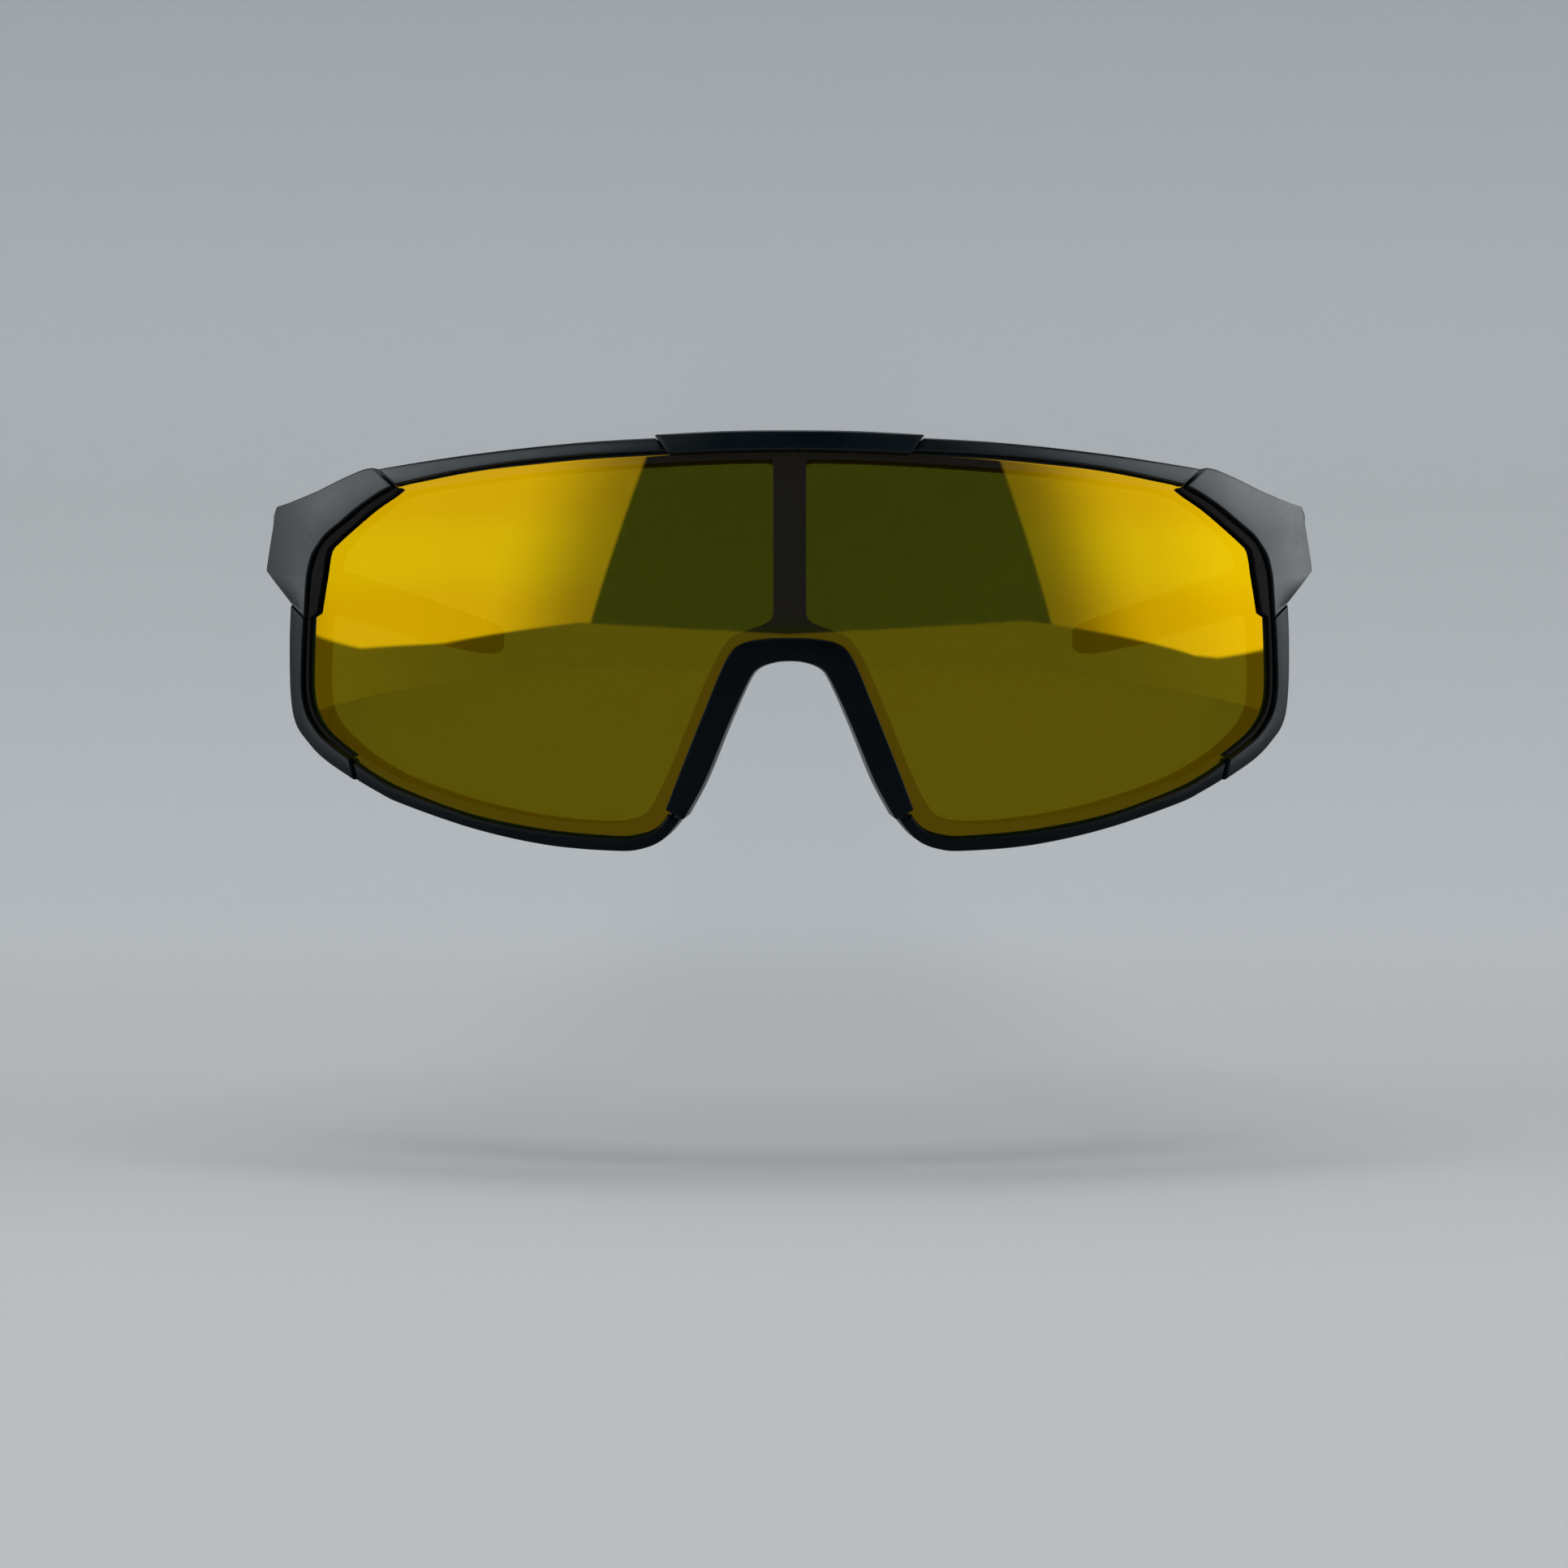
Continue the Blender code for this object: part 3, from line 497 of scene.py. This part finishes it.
def lens_front_material():
    """Mirror coat, golden in a middle band, over the tint and a black border printed round it."""
    material, nodes = new_material("lens_mirror_coat")
    where = nodes.add("TexCoord").outputs["Object"]
    height = nodes.add("SeparateXYZ", {0: where}).outputs["Z"]
    off_band = nodes.math("ABSOLUTE", nodes.math("SUBTRACT", height, BAND_Z))
    wave = nodes.math("MULTIPLY_ADD", nodes.noise(where, scale=45.0), BAND_WAVE, -BAND_WAVE / 2)
    hue = nodes.ramp(nodes.math("ADD", off_band, wave), BAND_INNER, BAND_OUTER)
    smears = nodes.noise(where, scale=260.0, detail=4.0)
    haze = nodes.ramp(smears, *HAZE_SPAN, to_low=0.01, to_high=0.025)
    mirror = nodes.add("BsdfGlossy", {
        "Color": nodes.tint(hue, COAT_GOLD, COAT_AMBER), "Roughness": haze,
    })
    speckle = nodes.noise(where, scale=2400.0)
    ink_colour = nodes.tint(nodes.ramp(height, *INK_TURN), nodes.tint(speckle, *INK_LOW),
                            nodes.tint(speckle, *INK_HIGH))
    ink = nodes.add("BsdfDiffuse", {
        "Color": ink_colour,
        "Roughness": nodes.ramp(speckle, *PATCH_SPAN, to_low=0.5, to_high=0.62),
    })
    tint = nodes.add("BsdfTransparent", {"Color": LENS_TINT})
    depth = nodes.add("Attribute", attribute_name=WINDOW_LAYER).outputs["Fac"]
    clear = nodes.ramp(depth, -INK_EDGE, INK_EDGE)
    under = nodes.add("MixShader", {0: clear, 1: ink.outputs[0], 2: tint.outputs[0]})
    coated = nodes.add("MixShader", {0: COAT_SHARE, 1: under.outputs[0], 2: mirror.outputs[0]})
    nodes.surface(coated.outputs[0])
    return material


def lens_back_material():
    """Clear inner face with a faint gloss."""
    material, nodes = new_material("lens_inner_face")
    where = nodes.add("TexCoord").outputs["Object"]
    smears = nodes.noise(where, scale=300.0, detail=4.0)
    haze = nodes.ramp(smears, *HAZE_SPAN, to_low=0.015, to_high=0.04)
    gloss = nodes.add("BsdfGlossy", {
        "Color": nodes.tint(nodes.noise(where, scale=60.0), (0.75, 0.6, 0.2), (0.8, 0.66, 0.26)),
        "Roughness": haze,
    })
    through = nodes.add("BsdfTransparent", {"Color": CLEAR})
    whole = nodes.add("MixShader", {0: INNER_GLOSS, 1: through.outputs[0], 2: gloss.outputs[0]})
    nodes.surface(whole.outputs[0])
    return material


SATIN = solid_material(
    "satin_frame", dark=(0.0014, 0.0034, 0.005), light=(0.0022, 0.0046, 0.0066),
    rough=0.33, specular=0.5, grain=1500.0, depth=0.06, ior=1.33)
# Painted shade: a copy of the satin frame plastic with weaker sheen and a darker base, for the lower
# rims and the bridge.
SATIN_SHADED_LOW = solid_material(
    "satin_lower_rim_painted_shade", dark=(0.0008, 0.0018, 0.0028), light=(0.0014, 0.0026, 0.004),
    rough=0.33, specular=0.14, grain=1500.0, depth=0.06, ior=1.33)
# Painted shade: a copy of the satin frame plastic with weaker sheen and a darker base, for the side
# rims.
SATIN_SHADED_SIDE = solid_material(
    "satin_side_rim_painted_shade", dark=(0.001, 0.0024, 0.0038), light=(0.0016, 0.0034, 0.005),
    rough=0.33, specular=0.22, grain=1500.0, depth=0.06, ior=1.33)
# Painted shade: a copy of the satin frame plastic with weaker sheen, for the brow clip.
SATIN_SHADED_CLIP = solid_material(
    "satin_clip_painted_shade", dark=(0.0014, 0.0036, 0.0058), light=(0.0022, 0.0048, 0.0074),
    rough=0.3, specular=0.4, grain=1500.0, depth=0.05, ior=1.33)
MATT = solid_material(
    "matt_strip", dark=(0.0052, 0.0046, 0.0046), light=(0.0068, 0.006, 0.006),
    rough=0.75, specular=0.05, grain=3200.0, depth=0.5)
RING = solid_material(
    "matt_ring", dark=(0.008, 0.0078, 0.0078), light=(0.012, 0.0115, 0.0115),
    rough=0.6, specular=0.3, grain=3000.0, depth=0.4)
RUBBER = solid_material(
    "soft_rubber", dark=(0.006, 0.0063, 0.0068), light=(0.011, 0.0115, 0.012),
    rough=0.68, specular=0.3, grain=1800.0, depth=0.7)
STEEL = solid_material(
    "brushed_steel", dark=(0.42, 0.43, 0.45), light=(0.56, 0.57, 0.59),
    rough=0.27, specular=0.5, grain=900.0, depth=0.3, metallic=1.0, stretch=(1.0, 1.0, 9.0))
LENS_EDGE = solid_material(
    "lens_edge", dark=(0.05, 0.033, 0.003), light=(0.08, 0.05, 0.005),
    rough=0.3, specular=0.5, grain=1500.0, depth=0.3)


# ---------------------------------------------------------------- lens and ring behind it
def lens_edges():
    """Upper and lower edge of the +X half of the lens."""
    pairs = refine(OPENING, cuts=6)
    top = push_out([pair[0] for pair in pairs], EDGE)
    low = push_out([pair[1] for pair in reversed(pairs)], EDGE)[::-1]
    return top, low


def thicken(obj, thickness, slots=(0, 0)):
    """A half sheet on the lens surface becomes a whole one with a thickness (mm)."""
    mirror = obj.modifiers.new("both halves", "MIRROR")
    mirror.merge_threshold = 0.02 * MM
    solid = obj.modifiers.new("thickness", "SOLIDIFY")
    solid.thickness = thickness * MM
    solid.offset = -1.0
    solid.material_offset, solid.material_offset_rim = slots


def window_depth(x, z, outline):
    """How far a point of the lens lies inside its viewing window (mm), negative outside."""
    depth = math.dist(nearest(outline, (x, z)), (x, z))
    crossings = sum((a[1] > z) != (b[1] > z)
                    and x < a[0] + (b[0] - a[0]) * (z - a[1]) / (b[1] - a[1])
                    for a, b in zip(outline, outline[1:]))
    return depth if crossings % 2 else -depth


def build_lens():
    rows = 52
    outline = [pair[0] for pair in refine(POST, cuts=2)] + refine(WINDOW, cuts=4)
    outline.append(outline[0])
    bm = bmesh.new()
    inside = bm.verts.layers.float.new(WINDOW_LAYER)
    sheet = []
    for high, low in zip(*lens_edges()):
        column = []
        for r in range(rows + 1):
            x, z = Vector(high).lerp(Vector(low), r / rows)
            column.append(bm.verts.new(on_lens(x, z, 0.0)))
            column[-1][inside] = window_depth(x, z, outline)
        sheet.append(column)
    for a, b in zip(sheet, sheet[1:]):
        for r in range(rows):
            bm.faces.new((a[r], a[r + 1], b[r + 1], b[r]))
    lens = new_object("lens", bm)
    dress(lens, "lens", "front", "lens_amber", lens_front_material(), lens_back_material(), LENS_EDGE)
    thicken(lens, LENS_T, slots=(1, 2))


def build_carrier():
    """The ring reaches from the window's edge to the lens's edge, with a post in the middle."""
    top, low = lens_edges()
    edge = top + low[::-1]
    half = refine(POST, cuts=2) + [(point, nearest(edge, point)) for point in refine(WINDOW, cuts=6)]
    bm = bmesh.new()
    pairs = [[bm.verts.new(on_lens(x, z, CARRIER_H)) for x, z in pair] for pair in half]
    for a, b in zip(pairs, pairs[1:] + pairs[:1]):
        bm.faces.new((a[0], b[0], b[1], a[1]))
    carrier = new_object("lens_carrier", bm)
    thicken(carrier, CARRIER_T)
    bevel = carrier.modifiers.new("edges", "BEVEL")
    bevel.limit_method = "ANGLE"
    bevel.angle_limit = math.radians(60)
    bevel.width = 0.2 * MM
    bevel.segments = 2
    dress(carrier, "lens_carrier", "front", "frame_matt", RING)


# ---------------------------------------------------------------- rim
def build_brow():
    """The bar lies lower under the clip in its middle."""
    middle = [station + (BAR_LOW_H,) for station in refine(BAR_MIDDLE, cuts=4)]
    outer = [station + (BAR_H,) for station in refine(BAR_OUTER, cuts=8)]
    bar = strip("brow_bar", both_halves(middle + outer), lambda station: grooved(station[2]),
                GROOVED_RADII)
    dress(bar, "brow_bar", "front", "frame_satin", SATIN)

    def saddle(station):
        return [(0, 0, CLIP_BACK), (0, 0, CLIP_H), (1, 0, CLIP_H), (1, 0, RIM_BACK),
                (1, -CLIP_T, RIM_BACK), (1, -CLIP_T, CLIP_BACK)]
    clip = strip("brow_clip", both_halves(refine(CLIP, cuts=8)), saddle, CLIP_RADII)
    dress(clip, "brow_clip", "front", "frame_satin", SATIN_SHADED_CLIP)


def build_bridge():
    bridge = strip("nose_bridge", both_halves(refine(BRIDGE, cuts=8)),
                   lambda station: grooved(BRIDGE_H), GROOVED_RADII)
    dress(bridge, "nose_bridge", "front", "frame_satin", SATIN_SHADED_LOW)


def build_endpiece(side, suffix):
    """The rim's upper corner, drawn back into the wall that the hinge is screwed to."""
    rings = []
    stations = refine(END_TOP, cuts=6) + refine(END_SIDE, cuts=6) + refine(END_FOOT, cuts=6)
    for lens_edge, outer_edge, reach in stations:
        station = (lens_edge, outer_edge)
        lip = across(station, 0, LAP)
        wall_z = max(outer_edge[1] - WALL_DROP, WALL_LOW_Z)
        rear_outer = place(side * OUTER_X, HINGE_Y - SEAT_GAP, wall_z)
        rear_inner = place(side * WALL_X, HINGE_Y - SEAT_GAP, wall_z)
        corner = place(side * WALL_X, CORNER_Y, wall_z)
        ring = [
            on_lens(*lens_edge, END_H, side), on_lens(*outer_edge, END_H, side),
            on_lens(*outer_edge, RIM_BACK, side).lerp(rear_outer, reach),
            on_lens(*across(station, 1, -WALL_IN), RIM_BACK, side).lerp(rear_inner, reach),
            on_lens(*across(station, 1, -HOOK_IN), RIM_BACK, side).lerp(corner, reach),
            on_lens(*lens_edge, RIM_BACK, side), on_lens(*lens_edge, GROOVE, side),
            on_lens(*lip, GROOVE, side), on_lens(*lip, LIP, side),
            on_lens(*lens_edge, LIP, side),
        ]
        rings.append(rounded(ring, ENDPIECE_RADII))
    endpiece = loft("endpiece", round_ends(rings, ENDPIECE_END))
    dress(endpiece, "endpiece_" + suffix, "front", "frame_satin", SATIN)


def build_rim(side, suffix):
    rim = strip("side_rim", refine(SIDE_RIM, cuts=7), lambda station: grooved(END_H),
                GROOVED_RADII, side)
    dress(rim, "side_rim_" + suffix, "front", "frame_satin", SATIN_SHADED_SIDE)
    lower = strip("lower_rim", refine(LOWER_RIM, cuts=7), lambda station: grooved(BAR_H),
                  GROOVED_RADII, side)
    dress(lower, "lower_rim_" + suffix, "front", "frame_satin", SATIN_SHADED_LOW)


def build_gasket(side, suffix):
    """Clamp strip, drawn a little narrow because the mirror coat doubles its inner side."""
    def section(station):
        trim = -min(GASKET_TRIM, GASKET_TRIM_SHARE * math.dist(*station))
        return [(0, 0, LIP), (0, 0, GASKET_H), (1, trim, GASKET_H), (1, trim, LIP)]
    stations = refine(GASKET_WIDE, cuts=6) + refine(GASKET_NARROW, cuts=6)
    gasket = strip("gasket", stations, section, GASKET_RADII, side, GASKET_END)
    dress(gasket, "lens_gasket_" + suffix, "front", "frame_matt", MATT)


def build_pad(side, suffix):
    """Soft pad: a narrow root behind the bridge leg, and a wing that leans out from the nose."""
    rings = []
    for (x, z), reach in refine(PAD, cuts=8):
        ring = [on_lens(x + dx + lean * reach, z + dz, RIM_BACK - share * reach - more, side)
                for dx, lean, dz, share, more in PAD_SECTION]
        rings.append(rounded(ring, PAD_RADII))
    pad = loft("nose_pad", round_ends(rings, PAD_END))
    dress(pad, "nose_pad_" + suffix, "front", "soft_rubber", RUBBER)


# ---------------------------------------------------------------- hinge
def hinge_half(name, side, far_y, levels, plate_z):
    """Half a hinge, and the y and z of the middle of its flange."""
    toward = math.copysign(1, far_y - HINGE_Y)
    near_y = HINGE_Y + toward * (KNUCKLE_R + FLANGE_GAP)
    flange_x = (side * (WALL_X - GAP - FLANGE_T), side * (WALL_X - GAP))
    half = block(name, flange_x, (near_y, far_y), plate_z, bevel=0.22)
    web_x = (side * (HINGE_X - WEB_IN), side * (WALL_X - GAP - WEB_SINK))
    web_y = (HINGE_Y + toward * FLANGE_GAP, near_y + toward * WEB_OVERLAP)
    for z0, z1 in levels:
        web = block("web", web_x, web_y, (z0, z1), bevel=0.08)
        knuckle = cylinder("knuckle", place(side * HINGE_X, HINGE_Y, z0),
                           place(side * HINGE_X, HINGE_Y, z1), KNUCKLE_R, bevel=0.12)
        combine(half, web, "UNION")
        combine(half, knuckle, "UNION")
    half.data.shade_smooth()
    half.data.set_sharp_from_angle(angle=math.radians(HINGE_SHARP))
    return half, (near_y + far_y) / 2, sum(plate_z) / 2


def screw(name, side, y, z):
    head_x = WALL_X - GAP - FLANGE_T - GAP - HEAD_T
    length = WALL_X + SCREW_DEPTH - head_x
    return fastener(name, place(side * head_x, y, z), Vector((side, 0, 0)), length)


def build_hinge(side, suffix):
    z = HINGE_Z
    temple = "temple_" + suffix
    fixed, y, middle_z = hinge_half("hinge_block", side, HINGE_Y - BLOCK_LENGTH,
                                    [(z[0], z[1]), (z[4], z[5])], (z[0], z[5]))
    dress(fixed, "hinge_block_" + suffix, "front", "hinge_steel", STEEL)
    dress(screw("screw", side, y, middle_z), "block_screw_" + suffix, "front", "hinge_steel", STEEL)
    leaf, y, middle_z = hinge_half("hinge_leaf", side, HINGE_Y + LEAF_LENGTH,
                                   [(z[2], z[3])], (z[0] - LEAF_BELOW, z[3] + LEAF_ABOVE))
    dress(leaf, "hinge_leaf_" + suffix, temple, "hinge_steel", STEEL)
    dress(screw("screw", side, y, middle_z), "leaf_screw_" + suffix, temple, "hinge_steel", STEEL)
    pin = fastener("pin", place(side * HINGE_X, HINGE_Y, z[-1] + GAP + HEAD_T), Vector((0, 0, -1)),
                   z[-1] - z[0] + 2 * GAP + HEAD_T, cross=False)
    dress(pin, "hinge_pin_" + suffix, "front", "hinge_steel", STEEL)


# ---------------------------------------------------------------- temples
def bar(name, stations, side, corner):
    """A bar of rectangular section with its corners rounded by corner (mm)."""
    most = 0.42                               # share of a side that one corner may take
    rings = []
    for y, x0, x1, z0, z1 in stations:
        radius = min(corner, most * (x1 - x0), most * (z1 - z0))
        ring = [place(side * x, y, z) for x, z in ((x0, z0), (x1, z0), (x1, z1), (x0, z1))]
        rings.append(rounded(ring, (radius,) * 4, BAR_ARC))
    return loft(name, round_ends(rings, BAR_END))


def build_temple(side, suffix):
    temple = "temple_" + suffix
    curved = [station for station in refine(ARM, cuts=8) if station[0] <= STRAIGHT_Y]
    straight = refine([curved[-1], ARM[-1]], cuts=6)[1:]
    arm = bar("arm", curved + straight, side, corner=1.0)
    dress(arm, "temple_arm_" + suffix, temple, "frame_satin", SATIN)
    tip = bar("tip", refine(TIP, cuts=8), side, corner=1.5)
    dress(tip, "temple_tip_" + suffix, temple, "soft_rubber", RUBBER)
    start, end = (place(side * x, y, z) for x, y, z in CORE)
    core = cylinder("core", start, end, WIRE_R, bevel=0.1)
    dress(core, "temple_core_" + suffix, temple, "hinge_steel", STEEL)


build_lens()
build_carrier()
build_brow()
build_bridge()
for side, suffix in ((1, "left"), (-1, "right")):
    build_endpiece(side, suffix)
    build_rim(side, suffix)
    build_gasket(side, suffix)
    build_pad(side, suffix)
    build_temple(side, suffix)
    build_hinge(side, suffix)

# ---------------------------------------------------------------- floor and backdrop
# Distances here are in metres. FLAT_Y: extra edges across the floor on both sides of the glasses.
FLOOR_Z, NEAR, BEND, BEND_R, WALL_TOP, HALF_WIDTH = -0.041, -2.4, 0.9, 0.6, 2.4, 2.6
FLAT_Y = (-0.3, 0.3)
BEND_STEPS = 12
FLOOR_NEAR, WALL_TONE = (0.432, 0.448, 0.46), (0.48, 0.51, 0.535)
# Painted shade: the floor is darker from just in front of the glasses backward, most in the middle,
# standing in for their shadow.
FLOOR_SHADED, FLOOR_SHADED_ASIDE = (0.355, 0.372, 0.388), (0.39, 0.407, 0.423)
SHADE_SPAN_Y, SHADE_SPAN_X = (-0.19, -0.02), (0.02, 0.085)    # painted shade behind the glasses: over y, and over x off the middle
SHADE_MIDDLE_X = 0.002
PAINTED_SHADOW_AT, PAINTED_SHADOW_R, PAINTED_SHADOW_DARK = (0.001, -0.035, FLOOR_Z), 0.11, 0.905    # painted shadow of the glasses on the floor


def build_sweep():
    """Paper floor that bends up into a wall, with painted shadow under the glasses and painted shade
    behind them.
    """
    profile = [(NEAR, FLOOR_Z), *((y, FLOOR_Z) for y in FLAT_Y)]
    for k in range(BEND_STEPS + 1):
        angle = math.radians(90 * k / BEND_STEPS)
        profile.append((BEND + BEND_R * math.sin(angle), FLOOR_Z + BEND_R * (1 - math.cos(angle))))
    profile.append((BEND + BEND_R, WALL_TOP))
    bm = bmesh.new()
    rows = [[bm.verts.new((x, y, z)) for y, z in profile] for x in (-HALF_WIDTH, HALF_WIDTH)]
    for k in range(len(profile) - 1):
        bm.faces.new((rows[0][k], rows[1][k], rows[1][k + 1], rows[0][k + 1]))
    sweep = new_object("studio_sweep", bm)
    material, nodes = new_material("studio_paper")
    where = nodes.add("TexCoord").outputs["Object"]
    parts = nodes.add("SeparateXYZ", {0: where}).outputs
    grain = nodes.noise(where, scale=700.0)
    # Painted shade: darker floor behind the glasses, most in the middle.
    off_shade_middle = nodes.math("ABSOLUTE", nodes.math("SUBTRACT", parts["X"], SHADE_MIDDLE_X))
    painted_floor_shade = nodes.tint(nodes.ramp(off_shade_middle, *SHADE_SPAN_X), FLOOR_SHADED, FLOOR_SHADED_ASIDE)
    floor = nodes.tint(nodes.ramp(parts["Y"], *SHADE_SPAN_Y), FLOOR_NEAR, painted_floor_shade)
    # Painted shadow: a darker round patch of floor under the glasses.
    shadow_distance = nodes.add("VectorMath", {0: where, 1: PAINTED_SHADOW_AT}, operation="DISTANCE").outputs["Value"]
    shade = nodes.ramp(shadow_distance, 0.0, PAINTED_SHADOW_R, to_low=PAINTED_SHADOW_DARK)
    floor = nodes.add("VectorMath", {0: floor, "Scale": shade}, operation="SCALE").outputs[0]
    up = nodes.math("MAXIMUM", nodes.ramp(parts["Z"], FLOOR_Z, 0.3),
                    nodes.ramp(parts["Y"], 0.2, 1.2, to_high=0.6))
    bump = nodes.add("Bump", {"Strength": 0.05, "Distance": 0.0001, "Height": grain})
    shader = nodes.add("BsdfPrincipled", {
        "Base Color": nodes.tint(up, floor, WALL_TONE), "Roughness": 0.9,
        "Specular IOR Level": 0.0, "Normal": bump.outputs[0],
    })
    nodes.surface(shader.outputs[0])
    sweep.data.materials.append(material)


# ---------------------------------------------------------------- studio light
# Angles in degrees: azimuth from straight ahead of the glasses, and height over the horizon.
DARK, LOW, TOP = 0.04, 0.48, 4.6                  # brightness of room, table and overhead panel
TOP_SPAN, PANEL_TOP_SPAN = (64.0, 72.0), (22.0, 34.0)     # heights over which they begin, end
GAP_FOOT, GAP_SLOPE = 1.75, 0.03                  # upper edge of the table between the panels
PANEL_SLANT = 0.66                                # lean of the panels' inner edges
PANEL_EDGE, FADE_WIDTH, FOOT_BLUR = (-0.4, 0.6), 22.0, 0.15
FIRST_SPAN, LATER_SPAN = (0.0, 24.0), (20.0, 50.0)        # where gain and rise add brightness
PANELS = (
    {"side": -1, "edge": 39.65, "level": 1.4, "gain": 2.7, "rise": 0.2, "fade": 98.0,
     "foot": 4.95, "slope": -0.05, "least": 1.5, "lift": 0.06},
    {"side": 1, "edge": 52.5, "level": 0.9, "gain": 3.1, "rise": 1.3, "fade": 120.0,
     "foot": 5.65, "slope": -0.056, "least": 0.95, "lift": 0.05},
)
LOW_SIDE, LOW_SIDE_SPAN = 1.5 * LOW, (50.0, 100.0)
LOW_TONE, WHITE = (0.92, 1.0, 1.02), (1.0, 1.0, 1.0)
SEEN_TONE = (0.39, 0.415, 0.437)                  # what the camera sees past the paper


def panel_light(nodes, panel, turned, height):
    """Brightness of one side panel; turned is the azimuth towards its side."""
    edge, level, fade = panel["edge"], panel["level"], panel["fade"]
    inner = nodes.math("MULTIPLY_ADD", height, PANEL_SLANT, turned)
    beyond = nodes.math("SUBTRACT", inner, edge)
    light = nodes.math("ADD", nodes.ramp(beyond, *FIRST_SPAN, level, level + panel["gain"]),
                       nodes.ramp(beyond, *LATER_SPAN, 0.0, panel["rise"]))
    light = nodes.math("MULTIPLY", light, nodes.ramp(beyond, *PANEL_EDGE))
    light = nodes.math("MULTIPLY", light, nodes.ramp(turned, fade, fade + FADE_WIDTH, 1.0, 0.0))
    return nodes.math("MULTIPLY", light, nodes.ramp(height, *PANEL_TOP_SPAN, 1.0, 0.0))


def panel_foot(nodes, panel, turned):
    """Height of the panel's lower edge: it falls, runs level and rises again past the side."""
    least, lift = panel["least"], panel["lift"]
    falling = nodes.math("MULTIPLY_ADD", turned, panel["slope"], panel["foot"])
    rising = nodes.math("MULTIPLY_ADD", turned, lift, least - 90 * lift)
    foot = nodes.math("MAXIMUM", nodes.math("MAXIMUM", falling, least), rising)
    return nodes.math("ADD", foot, nodes.ramp(turned, -1.0, 0.0, 90.0, 0.0, kind="LINEAR"))


def build_world():
    """Two big side panels with a dark gap between them, an overhead panel, a grey surround."""
    world = bpy.data.worlds.new("studio")
    world.use_nodes = True
    bpy.context.scene.world = world
    nodes = Nodes(world.node_tree)
    where = nodes.add("TexCoord").outputs["Generated"]
    parts = nodes.add("SeparateXYZ", {0: where}).outputs
    front = nodes.math("MULTIPLY", parts["Y"], -1.0)
    azimuth = nodes.math("DEGREES", nodes.math("ARCTAN2", parts["X"], front))
    height = nodes.math("DEGREES", nodes.math("ARCSINE", parts["Z"]))
    aside = nodes.math("ABSOLUTE", azimuth)
    total = nodes.ramp(height, *TOP_SPAN, DARK, TOP)
    line = nodes.math("MULTIPLY_ADD", aside, GAP_SLOPE, GAP_FOOT)
    for panel in PANELS:
        turned = nodes.math("MULTIPLY", azimuth, panel["side"])
        total = nodes.math("ADD", total, panel_light(nodes, panel, turned, height))
        line = nodes.math("MINIMUM", line, panel_foot(nodes, panel, turned))
    above = nodes.ramp(nodes.math("SUBTRACT", height, line), -FOOT_BLUR, FOOT_BLUR)
    low = nodes.ramp(aside, *LOW_SIDE_SPAN, LOW, LOW_SIDE)
    mixed = nodes.math("MULTIPLY_ADD", nodes.math("SUBTRACT", total, low), above, low)
    seen = nodes.add("LightPath").outputs["Is Camera Ray"]
    colour = nodes.tint(seen, nodes.tint(above, LOW_TONE, WHITE), SEEN_TONE)
    strength = nodes.add("Mix", {0: seen, 2: mixed, 3: 1.0}, data_type="FLOAT").outputs[0]
    background = nodes.add("Background", {"Color": colour, "Strength": strength})
    nodes.add("OutputWorld", {"Surface": background.outputs[0]})


FOCAL_LENGTH, SENSOR_WIDTH = 85.0, 36.0           # mm
CAMERA_AT = (-0.00073, -0.5557, 0.0087)           # metres


def build_camera():
    """Camera straight in front of the glasses, level and a little below their middle."""
    data = bpy.data.cameras.new("camera")
    data.lens, data.sensor_width = FOCAL_LENGTH, SENSOR_WIDTH
    camera = bpy.data.objects.new("camera", data)
    camera.location = CAMERA_AT
    camera.rotation_euler = (math.pi / 2, 0.0, 0.0)
    bpy.context.scene.collection.objects.link(camera)
    bpy.context.scene.camera = camera


build_sweep()
build_world()
build_camera()
bpy.context.scene.view_settings.view_transform = "Standard"
